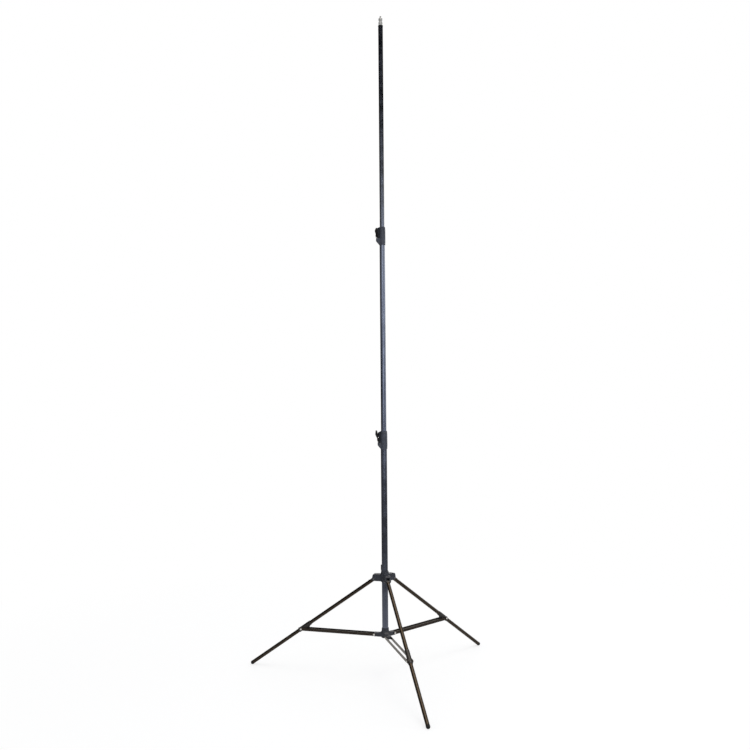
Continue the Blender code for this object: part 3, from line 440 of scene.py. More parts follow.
@dataclass(frozen=True)
class Palette:
    """The finishes of the stand."""

    mast: CoatedTube = CoatedTube(
        "mast_coating", (0.122, 0.137, 0.182), (0.20, 0.21, 0.25), Rest.PLACE, roughness=0.20
    )
    leg: CoatedTube = CoatedTube(
        "leg_coating", (0.052, 0.041, 0.031), (0.13, 0.105, 0.08), Rest.GRAIN, roughness=0.30
    )
    bar: CoatedTube = CoatedTube(
        "bar_coating", (0.046, 0.038, 0.032), (0.13, 0.115, 0.10), Rest.GRAIN, roughness=0.22
    )
    casting: Moulding = Moulding("casting_black", (0.015, 0.013, 0.012), (0.05, 0.045, 0.04), 0.42)
    # The mast collars' finish is a lighter copy of the grey moulding below: painted light for the
    # lit collars.
    collar: Moulding = Moulding("collar_painted_light", (0.060, 0.069, 0.096), (0.12, 0.13, 0.16))
    moulding: Moulding = Moulding("moulding_grey", (0.030, 0.034, 0.047), (0.075, 0.08, 0.095))
    # The bosses' finish is a darker copy of the same grey moulding: painted shade on the collar's
    # side away from the lamps.
    boss: Moulding = Moulding(
        "boss_painted_shade", (0.008, 0.011, 0.020), (0.045, 0.05, 0.065), 0.5, specular=0.3
    )
    knob: Moulding = Moulding(
        "knob_black", (0.007, 0.007, 0.008), (0.035, 0.035, 0.036), 0.55, specular=0.3
    )
    rubber: SoftRubber = SoftRubber("foot_rubber", (0.010, 0.010, 0.010), (0.035, 0.033, 0.030))
    steel: BareMetal = BareMetal("bright_steel", (0.78, 0.78, 0.76), (0.52, 0.50, 0.46))
    dull_steel: BareMetal = BareMetal(
        "dull_steel", (0.16, 0.16, 0.17), (0.09, 0.085, 0.08), roughness=0.42
    )
    turned_steel: BareMetal = BareMetal(
        "turned_steel", (0.80, 0.80, 0.78), (0.62, 0.61, 0.58), Lay.AROUND, roughness=0.34,
        metallic=0.55,
    )
    brass: BareMetal = BareMetal("plain_brass", (0.72, 0.54, 0.26), (0.42, 0.30, 0.14))
    nylon: Moulding = Moulding("natural_nylon", (0.62, 0.61, 0.57), (0.68, 0.67, 0.64), 0.5)


# Modelling


class Workshop:
    """Modelling steps that every sub-assembly uses."""

    def clear_hands(self) -> None:
        """Leave nothing selected, in object mode."""
        if bpy.context.mode != "OBJECT":
            bpy.ops.object.mode_set(mode="OBJECT")
        bpy.ops.object.select_all(action="DESELECT")

    def take(self, piece: Piece) -> None:
        """Select one piece alone and make it active.

        Args:
            piece: The piece.
        """
        self.clear_hands()
        piece.select_set(True)
        bpy.context.view_layer.objects.active = piece

    @contextmanager
    def editing(
        self, piece: Piece, wanted: Callable[[Vector], bool] | None = None
    ) -> Iterator[None]:
        """Hold a piece in edit mode with its vertices selected.

        Args:
            piece: The piece.
            wanted: Tells by its place whether a vertex is selected; without it all of them are.

        Yields:
            Nothing, while the piece is in edit mode.
        """
        self.take(piece)
        bpy.ops.object.mode_set(mode="EDIT")
        bpy.ops.mesh.select_all(action="SELECT" if wanted is None else "DESELECT")
        if wanted is not None:
            bpy.ops.object.mode_set(mode="OBJECT")
            for vertex in piece.data.vertices:
                vertex.select = wanted(vertex.co)
            bpy.ops.object.mode_set(mode="EDIT")
        yield
        bpy.ops.object.mode_set(mode="OBJECT")

    def heal(self) -> None:
        """Merge doubled vertices of the piece in edit mode and turn its faces outwards."""
        bpy.ops.mesh.select_all(action="SELECT")
        bpy.ops.mesh.remove_doubles(threshold=WELD)
        bpy.ops.mesh.normals_make_consistent(inside=False)

    def circle(
        self, name: str, radius: float, height: float, sides: int, filled: bool = False
    ) -> Piece:
        """Add a level circle about +Z as a start.

        Args:
            name: The piece's name.
            radius: Its radius.
            height: Its height.
            sides: Number of its sides.
            filled: Whether it has a face.

        Returns:
            The circle.
        """
        self.clear_hands()
        bpy.ops.mesh.primitive_circle_add(
            vertices=sides,
            radius=radius,
            fill_type="NGON" if filled else "NOTHING",
            location=(0.0, 0.0, height),
        )
        piece = bpy.context.object
        piece.name = name
        return piece

    def turned(
        self,
        name: str,
        outline: Profile,
        sides: int = 48,
        seat: Matrix = Matrix.Identity(4),
        hollow: bool = False,
    ) -> Piece:
        """Turn a piece about +Z by drawing a disc or a ring along its outline.

        Args:
            name: The piece's name.
            outline: Pairs of radius and height; the ring of a hollow piece comes back to its start.
            sides: Number of sides of each ring.
            seat: Frame of its seat in the stand's frame.
            hollow: Whether the piece has an open middle.

        Returns:
            The turned piece.
        """
        radius, height = outline[0]
        piece = self.circle(name, radius, height, sides, filled=not hollow)
        with self.editing(piece):
            for next_radius, next_height in outline[1:] + (outline[:1] if hollow else []):
                bpy.ops.mesh.extrude_region_move(
                    TRANSFORM_OT_translate={"value": (0.0, 0.0, next_height - height)}
                )
                share = next_radius / radius
                bpy.ops.transform.resize(
                    value=(share, share, 1.0), center_override=(0.0, 0.0, next_height)
                )
                radius, height = next_radius, next_height
            self.heal()
        return self.place(piece, seat)

    def place(self, piece: Piece, seat: Matrix = Matrix.Identity(4)) -> Piece:
        """Move a piece to its seat and keep the place in its mesh.

        Args:
            piece: The piece, still where it was modelled.
            seat: Frame of the seat in the stand's frame.

        Returns:
            The same piece.
        """
        self.take(piece)
        piece.matrix_world = seat @ piece.matrix_world
        bpy.ops.object.transform_apply(location=True, rotation=True, scale=True)
        return piece

    def shape(self, piece: Piece, kind: str, **settings: object) -> Piece:
        """Add a modifier and apply it.

        Args:
            piece: The piece to change.
            kind: The modifier's type.
            **settings: Properties of the modifier.

        Returns:
            The same piece.
        """
        self.take(piece)
        modifier = piece.modifiers.new(kind.lower(), kind)
        for key, value in settings.items():
            setattr(modifier, key, value)
        bpy.ops.object.modifier_apply(modifier=modifier.name)
        return piece

    def ease(
        self, piece: Piece, width: float, angle: float = 35.0, clamp: bool = True
    ) -> Piece:
        """Round a piece's edges and shade it.

        Args:
            piece: The piece to ease.
            width: Width of the rounding in metres.
            angle: Smallest angle of an edge that is rounded, in degrees.
            clamp: Whether the shortest edge limits the width.

        Returns:
            The same piece.
        """
        self.shape(
            piece,
            "BEVEL",
            width=width,
            segments=2,
            limit_method="ANGLE",
            angle_limit=math.radians(angle),
            use_clamp_overlap=clamp,
        )
        return self.smooth(piece)

    def smooth(self, piece: Piece, angle: float = 40.0) -> Piece:
        """Shade a piece smooth, apart from its sharp edges, and keep its flat faces flat.

        Args:
            piece: The piece.
            angle: Smallest angle of an edge that stays sharp, in degrees.

        Returns:
            The same piece.
        """
        self.take(piece)
        bpy.ops.object.shade_smooth_by_angle(angle=math.radians(angle))
        return self.shape(piece, "WEIGHTED_NORMAL", mode="FACE_AREA", weight=50, keep_sharp=True)

    def cut(self, piece: Piece, point: Point, outward: Point, shave: bool = False) -> Piece:
        """Split a piece's faces along a plane.

        Args:
            piece: The piece.
            point: A point of the plane.
            outward: Direction across the plane.
            shave: Whether the outward side falls away and the cut is closed.

        Returns:
            The same piece.
        """
        with self.editing(piece):
            bpy.ops.mesh.bisect(
                plane_co=point, plane_no=outward, use_fill=shave, clear_outer=shave
            )
        return piece

    def weld(self, piece: Piece, distance: float = WELD) -> Piece:
        """Merge vertices that lie close together and join flat triangles into whole faces.

        Args:
            piece: The piece.
            distance: Largest distance of vertices that merge.

        Returns:
            The same piece.
        """
        with self.editing(piece):
            bpy.ops.mesh.remove_doubles(threshold=distance)
            bpy.ops.mesh.dissolve_limited(angle_limit=FLAT)
        return piece

    def whole_copy(self, node: str, name: str) -> Piece:
        """Copy a solid and join its triangles into whole faces.

        Args:
            node: Name of the solid.
            name: Name of the copy.

        Returns:
            The copy.
        """
        piece = bpy.data.objects.new(name, frame["nodes"][node].data.copy())
        bpy.context.scene.collection.objects.link(piece)
        self.take(piece)
        bpy.ops.mesh.customdata_custom_splitnormals_clear()
        return self.weld(piece)

    def carve(self, piece: Piece, *cutters: Piece) -> Piece:
        """Cut shapes out of a piece.

        Args:
            piece: The piece to cut.
            *cutters: The shapes, which are used up.

        Returns:
            The same piece.
        """
        for cutter in cutters:
            self.shape(piece, "BOOLEAN", object=cutter, operation="DIFFERENCE", solver="EXACT")
            bpy.data.objects.remove(cutter)
        return piece

    def joined(self, *pieces: Piece) -> Piece:
        """Make several shapes one piece.

        Args:
            *pieces: The shapes; the first one gives its name.

        Returns:
            The joined piece.
        """
        self.clear_hands()
        for piece in pieces:
            piece.select_set(True)
        bpy.context.view_layer.objects.active = pieces[0]
        bpy.ops.object.join()
        return pieces[0]

    def block(self, name: str, size: Point, middle: Point) -> Piece:
        """Add a rectangular block as a start or as a cutter.

        Args:
            name: The block's name.
            size: Lengths of its sides.
            middle: Its middle.

        Returns:
            The block.
        """
        self.clear_hands()
        bpy.ops.mesh.primitive_cube_add(size=1.0, location=middle, scale=size)
        block = bpy.context.object
        block.name = name
        return self.place(block)

    def lay_grain(self, piece: Piece, seat: Matrix) -> None:
        """Write the piece's own coordinates, with +Z along its length, into its mesh.

        Args:
            piece: The finished piece.
            seat: Frame whose +Z runs along the piece.
        """
        back = seat.inverted()
        values = [number for vertex in piece.data.vertices for number in back @ vertex.co]
        grain = piece.data.attributes.new("grain", "FLOAT_VECTOR", "POINT")
        grain.data.foreach_set("vector", values)


@dataclass
class Fitter:
    """Gives each piece its finish and its carrier, and counts the pieces."""

    finishes: dict[str, bpy.types.Material]
    slots: dict[str, str] = field(
        default_factory=lambda: {
            "mast": "mast_paint",
            "leg": "leg_paint",
            "bar": "leg_paint",
            "casting": "moulding",
            "collar": "moulding",
            "moulding": "moulding",
            "boss": "moulding",
            "knob": "knob",
            "rubber": "rubber",
            "steel": "bright_steel",
            "dull_steel": "bright_steel",
            "turned_steel": "bright_steel",
            "brass": "brass",
            "nylon": "nylon",
        }
    )
    count: int = 0

    def paint(self, piece: Piece, finish: str) -> None:
        """Give a piece one finish all over."""
        piece.data.materials.clear()
        piece.data.materials.append(self.finishes[finish])

    def inlay(
        self, piece: Piece, finish: str, wanted: Callable[[bpy.types.MeshPolygon], bool]
    ) -> None:
        """Give some faces of a piece another finish.

        Args:
            piece: The finished piece.
            finish: Name of the other finish.
            wanted: Tells whether a face gets it.
        """
        piece.data.materials.append(self.finishes[finish])
        for face in piece.data.polygons:
            if wanted(face):
                face.material_index = len(piece.data.materials) - 1

    def fit(self, piece: Piece, body: str, finish: str, *nodes: str) -> None:
        """Finish a piece and hang it on its body.

        Args:
            piece: The finished piece.
            body: The body that carries it.
            finish: Name of its finish in the palette.
            *nodes: Solids that it stands for.
        """
        self.paint(piece, finish)
        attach(piece, body)
        if nodes:
            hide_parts(*nodes)
        self.count += 1
        LOG.info("%s: %d faces, on %s", piece.name, len(piece.data.polygons), body)


SHOP = Workshop()


@dataclass(frozen=True)
class Plan:
    """Where the joints of the stand lie."""

    leg_pivot_height: float = 0.3945
    strut_pivot_height: float = 0.167
    pivot_radius: float = 0.045
    foot_circle: float = 0.590
    foot_radius: float = 0.0079
    foot_flat: float = 0.0008
    bracket_distance: float = 0.392668
    strut_length: float = 0.320050
    gap: float = 0.0003

    @property
    def leg_fall(self) -> float:
        """Height of a leg's pivot over the middle of its foot."""
        return self.leg_pivot_height - self.foot_radius + self.foot_flat

    @property
    def leg_reach(self) -> float:
        """Length from a leg's pivot to the middle of its foot."""
        return math.hypot(self.foot_circle - self.pivot_radius, self.leg_fall)

    @property
    def leg_slope(self) -> float:
        """Angle of a leg below the horizontal."""
        return math.atan2(self.leg_fall, self.foot_circle - self.pivot_radius)

    def outwards(self, number: int, height: float) -> Matrix:
        """Frame at a pivot near the mast, with +X outwards along a leg's direction.

        Args:
            number: Number of the leg, from 1.
            height: Height of the pivot.

        Returns:
            The frame.
        """
        turn = Matrix.Rotation(math.radians(120.0 * number - 210.0), 4, "Z")
        return turn @ Matrix.Translation((self.pivot_radius, 0.0, height))

    def leg(self, number: int) -> Matrix:
        """Frame at a leg's pivot, with +X along the leg to its foot and +Z on its upper side.

        Args:
            number: Number of the leg, from 1.

        Returns:
            The frame.
        """
        return self.outwards(number, self.leg_pivot_height) @ Matrix.Rotation(
            self.leg_slope, 4, "Y"
        )

    def strut(self, number: int) -> Matrix:
        """Frame at a strut's inner pivot, with +X along the strut."""
        return self.outwards(number, self.strut_pivot_height)


PLAN = Plan()
ALONG_X = Matrix.Rotation(math.pi / 2, 4, "Y")
AGAINST_X = Matrix.Rotation(-math.pi / 2, 4, "Y")
ALONG_Y = Matrix.Rotation(-math.pi / 2, 4, "X")


# Small fasteners

# A blind rivet's head and mandrel stub, as shares of the head's radius and rise
BLIND_HEAD = (
    (0.96, 0.0), (1.0, 0.15), (0.94, 0.45), (0.78, 0.80), (0.58, 1.0), (0.46, 1.0),
    (0.40, 0.82), (0.38, 0.40), (0.30, 0.38), (0.26, 0.62), (0.10, 0.66),
)


@dataclass(frozen=True)
class Rivet:
    """A rivet with a domed head at each end, along +Z with its middle at the origin."""

    shank: float
    head: float
    rise: float
    sides: int = 32

    def dome(self, seat: float) -> Profile:
        """List the outline of a head that sits at a height, from its rim to its crown.

        Args:
            seat: Height of the face under the head.

        Returns:
            Pairs of radius and height.
        """
        steps = 6
        points = [(self.head * 0.96, seat), (self.head, seat + self.rise * 0.12)]
        for step in range(steps):
            angle = math.pi / 2 * (step + 0.6) / steps
            rise = seat + self.rise * (0.25 + 0.75 * math.sin(angle))
            points.append((self.head * max(math.cos(angle), 0.12), rise))
        return points

    def through(self, name: str, half_grip: float, seat: Matrix) -> Piece:
        """Make a rivet with both its heads.

        Args:
            name: The piece's name.
            half_grip: Half the thickness that it holds.
            seat: Frame of its middle.

        Returns:
            The rivet.
        """
        upper = self.dome(half_grip)
        lower = [(radius, -height) for radius, height in reversed(upper)]
        outline = lower + [(self.shank, -half_grip), (self.shank, half_grip)] + upper
        return SHOP.smooth(SHOP.turned(name, outline, self.sides, seat), angle=50.0)

    def one_ended(self, name: str, start: float, half_grip: float, seat: Matrix) -> Piece:
        """Make one end of a rivet, from a height inside the joint to its head.

        Args:
            name: The piece's name.
            start: Height at which the end starts.
            half_grip: Height of the face under the head.
            seat: Frame of the joint's middle.

        Returns:
            The rivet's end.
        """
        outline = [(self.shank, start), (self.shank, half_grip)] + self.dome(half_grip)
        return SHOP.smooth(SHOP.turned(name, outline, self.sides, seat), angle=50.0)

    def blind(self, name: str, depth: float, seat: Matrix) -> Piece:
        """Make a blind rivet with the stub of its mandrel in a small crater.

        Args:
            name: The piece's name.
            depth: Length of the shank below the head.
            seat: Frame of the face under the head.

        Returns:
            The rivet.
        """
        outline = [(self.shank, -depth), (self.shank, 0.0)]
        outline += [(self.head * out, self.rise * up) for out, up in BLIND_HEAD]
        return SHOP.smooth(SHOP.turned(name, outline, self.sides, seat))


PIVOT_RIVET = Rivet(shank=0.00235, head=0.0045, rise=0.0018)
BLIND_RIVET = Rivet(shank=0.0015, head=0.0030, rise=0.0011, sides=24)


# Sub-assemblies


@dataclass
class Assembly:
    """A sub-assembly of the stand."""

    fitter: Fitter

    def build(self) -> None:
        """Build its pieces and have the fitter finish and hang them."""
        raise NotImplementedError


# Mast


@dataclass
class MastTube(Assembly):
    """One drawn tube of the mast."""

    node: str
    body: str
    radius: float
    wall: float = 0.001
    rim: float = 0.0003
    sides: int = 72

    def build(self) -> None:
        """Draw the tube, give it its wall and round its rims."""
        low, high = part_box(self.node)
        tube = SHOP.circle(f"{self.node}_drawn", self.radius, low.z, self.sides)
        with SHOP.editing(tube):
            bpy.ops.mesh.extrude_region_move(
                TRANSFORM_OT_translate={"value": (0.0, 0.0, high.z - low.z)}
            )
            SHOP.heal()
        SHOP.place(tube)
        SHOP.shape(tube, "SOLIDIFY", thickness=self.wall, offset=-1.0)
        SHOP.ease(tube, self.rim, angle=60.0)
        self.fitter.fit(tube, self.body, "mast", self.node)


@dataclass
class MastLock(Assembly):
    """A mast collar with its lever knob, which locks one sliding tube."""

    prefix: str
    carrier: str
    top: float
    turn: float
    tube_radius: float
    boss_face: float = 0.0248
    boss_width: float = 0.016
    boss_step: float = 0.0004
    knob_face: float = 0.020
    knob_drop: float = 0.035
    height: float = 0.074
    wall: float = 0.0021
    gap: float = 0.0003
    brow_drop: float = 0.0042
    brow_reach: float = 0.0085
    brow_start: float = 0.0062
    brow_inset: float = 0.0014
    seam_drop: float = 0.0125
    slit_depth: float = 0.004
    slit_width: float = 0.0011
    slit_length: float = 0.04588
    slit_drop: float = 0.01776
    flute_size: Point = (0.0105, 0.0022, 0.0016)
    flute_middle: float = -0.0165
    flute_proud: float = 0.0006
    flute_rise: float = 0.0222
    flute_pitch: float = 0.00629
    flutes: int = 4
    rivet_inset: float = 0.0011
    rivet_depth: float = 0.0036
    weld: float = 0.0004
    edge: float = 0.0006

    def build(self) -> None:
        """Build the collar and its knob."""
        self.build_collar()
        self.build_rivet()
        knob, lock = f"{self.prefix}_knob", f"{self.prefix}_lock"
        LeverKnob(self.fitter, knob, lock, self.knob_seat).build()

    @property
    def knob_seat(self) -> Matrix:
        """Frame of the knob, with +Z along its screw and +X along its lever.

        Returns:
            The frame.
        """
        side = Matrix.Rotation(math.pi, 4, "Z")
        face = Matrix.Translation((self.knob_face + self.gap, 0.0, self.top - self.knob_drop))
        return side @ face @ ALONG_X @ Matrix.Rotation(math.radians(self.turn), 4, "Z")

    def build_collar(self) -> None:
        """Slope the boss's brow, ease the edges and cut the clamp slit and grip flutes."""
        collar = SHOP.whole_copy(f"{self.prefix}_collar", f"{self.prefix}_collar_body")
        slope = math.atan2(self.brow_drop, self.brow_reach)
        SHOP.cut(
            collar,
            (-self.boss_face + self.brow_inset, 0.0, self.top - self.brow_start),
            (-math.sin(slope), 0.0, math.cos(slope)),
            shave=True,
        )
        SHOP.ease(SHOP.weld(collar, self.weld), self.edge)
        seam = self.top - self.knob_drop - self.seam_drop
        SHOP.cut(collar, (0.0, 0.0, seam), (0.0, 0.0, 1.0))
        belly = self.tube_radius + self.gap + self.wall
        cutters = [
            SHOP.block(
                "slit",
                (self.slit_depth, self.slit_width, self.slit_length),
                (belly, 0.0, self.top - self.slit_drop),
            )
        ]
        side = self.boss_width / 2 + self.flute_proud
        low = self.top - self.height + self.flute_rise
        for across in (-side, side):
            for step in range(self.flutes):
                middle = (self.flute_middle, across, low + self.flute_pitch * step)
                flute = SHOP.block("flute", self.flute_size, middle)
                cutters.append(SHOP.ease(flute, self.edge))
        SHOP.smooth(SHOP.carve(collar, *cutters))
        # The collar gets the lighter copy of the moulding: painted light.
        self.fitter.fit(collar, self.carrier, "collar", f"{self.prefix}_collar")
        # The boss's upper faces get the darker copy of the moulding: painted shade on the collar's
        # side away from the lamps.
        front = -belly - self.boss_step
        self.fitter.inlay(
            collar, "boss", lambda face: face.center.x < front and face.center.z > seam
        )

    def build_rivet(self) -> None:
        """Set the blind rivet that fixes the collar on its tube."""
        low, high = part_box(f"{self.prefix}_collar_rivet")
        middle = (low + high) / 2
        seat = Matrix.Translation((low.x + self.rivet_inset, 0.0, middle.z)) @ AGAINST_X
        rivet = BLIND_RIVET.blind(f"{self.prefix}_collar_fixing", self.rivet_depth, seat)
        self.fitter.fit(rivet, self.carrier, "dull_steel", f"{self.prefix}_collar_rivet")


@dataclass
class LeverKnob(Assembly):
    """A lever knob on the end of a lock screw."""

    node: str
    body: str
    seat: Matrix
    edge: float = 0.0005
    hub_length: float = 0.0068
    cap: tuple[tuple[float, float], ...] = (
        (0.0034, -0.0004),
        (0.0034, 0.0003),
        (0.0031, 0.0006),
        (0.0024, 0.0006),
        (0.0022, 0.0002),
        (0.0004, 0.0002),
    )
    bend: float = 0.021
    crest: float = 0.0148
    palm: float = 0.0014
    heel: float = 0.0021
    heel_start: float = 0.0125
    palm_end: float = 0.040
    heel_end: float = 0.030
    arm_half: float = 0.0036
    arm_bend: float = 0.018
    arm_rise: float = 0.35
    groove_size: Point = (0.0009, 0.02, 0.0012)
    groove_start: float = 0.0245
    groove_pitch: float = 0.0026
    groove_proud: float = 0.00025
    groove_edge: float = 0.0003
    grooves: int = 5
    crest_fall: float = 0.113

    def thicken(self, knob: Piece, end: float, depth: float) -> None:
        """Move the inner side of the lever's arm towards the boss.

        Args:
            knob: The knob, in its seat.
            end: Distance from the screw up to which the side moves.
            depth: How far it moves.
        """
        back = self.seat.inverted()

        def is_inner(place: Vector) -> bool:
            """Tell whether a place is on the inner side of the arm."""
            spot = back @ place
            rise = self.arm_rise * max(self.arm_bend - spot.x, 0.0)
            return (
                self.heel_start + self.edge < spot.x < end
                and spot.z < self.crest - self.arm_half - rise
            )

        with SHOP.editing(knob, is_inner):
            bpy.ops.transform.translate(value=self.seat.to_3x3() @ Vector((0.0, 0.0, -depth)))

    def build(self) -> None:
        """Thicken the lever, ease it, cut its grip grooves and add the cap of its hub."""
        knob = SHOP.whole_copy(self.node, f"{self.node}_handle")
        heel = self.seat @ Vector((self.heel_start, 0.0, 0.0))
        SHOP.cut(knob, tuple(heel), tuple(self.seat.to_3x3() @ Vector((1.0, 0.0, 0.0))))
        self.thicken(knob, self.palm_end, self.palm)
        self.thicken(knob, self.heel_end, self.heel)
        SHOP.ease(knob, self.edge)
        grooves = []
        for step in range(self.grooves):
            reach = self.groove_start + self.groove_pitch * step
            height = self.crest - self.crest_fall * (reach - self.bend) + self.groove_proud
            groove = SHOP.block("groove", self.groove_size, (reach, 0.0, height))
            grooves.append(SHOP.place(SHOP.ease(groove, self.groove_edge), self.seat))
        knob = SHOP.smooth(SHOP.carve(knob, *grooves))
        self.fitter.fit(knob, self.body, "knob", self.node)
        outline = [(radius, self.hub_length + height) for radius, height in self.cap]
        cap = SHOP.turned(f"{self.node}_cap", outline, sides=32, seat=self.seat)
        self.fitter.fit(SHOP.smooth(cap), self.body, "dull_steel")


@dataclass
class TopStud(Assembly):
    """The stud with its thread, cross pin and end ring, on the top tube."""

    body: str = "top_section"
    base: float = 2.6607
    radius: float = 0.00795
    height: float = 0.0295
    groove_radius: float = 0.0060
    groove_width: float = 0.007
    groove_drop: float = 0.009
    chamfer: float = 0.0015
    spigot: float = 0.0082
    spigot_length: float = 0.030
    groove_fillet: tuple[tuple[float, float], ...] = ((0.12, 0.44), (0.0, 0.62))
    edge: float = 0.0003
    thread_radius: float = 0.003175
    thread_length: float = 0.0095
    pitch: float = 0.00127
    thread_root: float = 0.54
    thread_depth: float = 0.60
    thread_base: float = 0.94
    thread_crest: float = 0.16
    thread_lead: float = 0.2
    thread_end: float = 0.8
    tube_radius: float = 0.0095
    ring_edge: float = 0.0004
    pin_height: float = 2.643
    pin_end: tuple[tuple[float, float], ...] = (
        (0.0009, -0.0004), (0.0011, 0.0002), (0.0015, 0.0003), (0.0017, 0.0)
    )

    def build(self) -> None:
        """Build the stud, its pin and its ring."""
        stud = SHOP.joined(self.turn_body(), self.cut_thread())
        self.fitter.fit(SHOP.smooth(stud, angle=30.0), self.body, "turned_steel", "stud")
        ring = SHOP.ease(SHOP.whole_copy("top_end_ring", "top_end_cap"), self.ring_edge)
        self.fitter.fit(ring, self.body, "knob", "top_end_ring")
        seat = Matrix.Translation((0.0, 0.0, self.pin_height)) @ ALONG_X
        outline = [(radius, self.tube_radius + proud) for radius, proud in self.pin_end]
        near = [(radius, -height) for radius, height in outline]
        pin = SHOP.turned("stud_pin", near + outline[::-1], sides=24, seat=seat)
        self.fitter.fit(SHOP.smooth(pin), self.body, "dull_steel")

    def turn_body(self) -> Piece:
        """Turn the stud's body with its groove and the core of its thread.

        Returns:
            The body.
        """
        shoulder = self.base + self.height
        groove_top = shoulder - self.groove_drop
        groove_end = groove_top - self.groove_width
        depth = self.radius - self.groove_radius
        fillet = [(self.groove_radius + depth * out, depth * up) for out, up in self.groove_fillet]
        core = self.thread_radius - self.pitch * self.thread_root
        tip = shoulder + self.thread_length
        return SHOP.turned(
            "stud_turned",
            [
                (self.spigot, self.base - self.spigot_length),
                (self.spigot, self.base),
                (self.radius - self.edge, self.base),
                (self.radius, self.base + self.edge),
                (self.radius, groove_end - self.edge),
                (self.radius - self.edge, groove_end),
                *((radius, groove_end + up) for radius, up in fillet),
                *((radius, groove_top - up) for radius, up in reversed(fillet)),
                (self.radius - self.edge, groove_top),
                (self.radius, groove_top + self.edge),
                (self.radius, shoulder - self.chamfer),
                (self.radius - self.chamfer, shoulder - 0.0001),
                (self.radius - self.chamfer - 0.0002, shoulder),
                (core + 0.0006, shoulder),
                (core, shoulder - 0.0004),
                (core, tip - 0.0006),
                (core - 0.0005, tip),
                (0.0004, tip),
            ],
            64,
        )

    def cut_thread(self) -> Piece:
        """Wind the thread's ridge round its core.

        Returns:
            The ridge.
        """
        depth = self.pitch * self.thread_depth
        start = self.base + self.height + self.pitch * self.thread_lead
        SHOP.clear_hands()
        bpy.ops.mesh.primitive_plane_add(
            size=1.0,
            location=(self.thread_radius - depth / 2, 0.0, start),
            rotation=(math.pi / 2, 0.0, 0.0),
        )
        ridge = bpy.context.object
        ridge.name = "stud_thread"
        with SHOP.editing(ridge):
            bpy.ops.transform.resize(
                value=(depth, 1.0, self.pitch * self.thread_base),
                center_override=tuple(ridge.location),
            )
            bpy.ops.mesh.delete(type="ONLY_FACE")
        SHOP.place(ridge)
        with SHOP.editing(ridge, lambda place: place.x > self.thread_radius - depth / 2):
            bpy.ops.transform.resize(
                value=(1.0, 1.0, self.thread_crest),
                center_override=(self.thread_radius, 0.0, start),
            )
        turns = int(self.thread_length / self.pitch - self.thread_end)
        SHOP.shape(
            ridge,
            "SCREW",
            angle=2 * math.pi,
            screw_offset=self.pitch,
            iterations=turns,
            steps=32,
            render_steps=32,
            use_merge_vertices=True,
        )
        with SHOP.editing(ridge):
            bpy.ops.mesh.remove_doubles(threshold=WELD)
            bpy.ops.mesh.fill_holes(sides=0)
            SHOP.heal()
        return ridge


# Spider and leg collar


@dataclass
class CastHub(Assembly):
    """A casting round the mast that carries the pivots of three legs or struts."""

    node: str
    body: str
    rivets: str
    height: float
    rivet_finish: str
    plan: Plan = PLAN
    weld: float = 0.0004
    edge: float = 0.0006

    def build(self) -> None:
        """Ease the casting and rivet its lugs."""
        casting = SHOP.weld(SHOP.whole_copy(self.node, f"{self.node}_casting"), self.weld)
        SHOP.ease(casting, self.edge)
        self.fitter.fit(casting, self.body, "moulding", self.node)
        low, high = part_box(f"{self.rivets}_1")
        half_grip = (high.x - low.x) / 2 - PIVOT_RIVET.rise
        for number in (1, 2, 3):
            seat = self.plan.outwards(number, self.height) @ ALONG_Y
            node = f"{self.rivets}_{number}"
            rivet = PIVOT_RIVET.through(f"{node}_domed", half_grip, seat)
            self.fitter.fit(rivet, self.body, self.rivet_finish, node)


@dataclass
class SpiderFixing(Assembly):
    """The blind rivet that fixes the spider on the bottom tube."""

    radius: float = 0.0148
    height: float = 0.1815
    depth: float = 0.003

    def build(self) -> None:
        """Set the rivet on the side away from leg 1."""
        seat = Matrix.Translation((0.0, self.radius, self.height)) @ ALONG_Y
        rivet = BLIND_RIVET.blind("spider_fixing", self.depth, seat)
        self.fitter.fit(rivet, "column", "dull_steel")


# Legs and struts


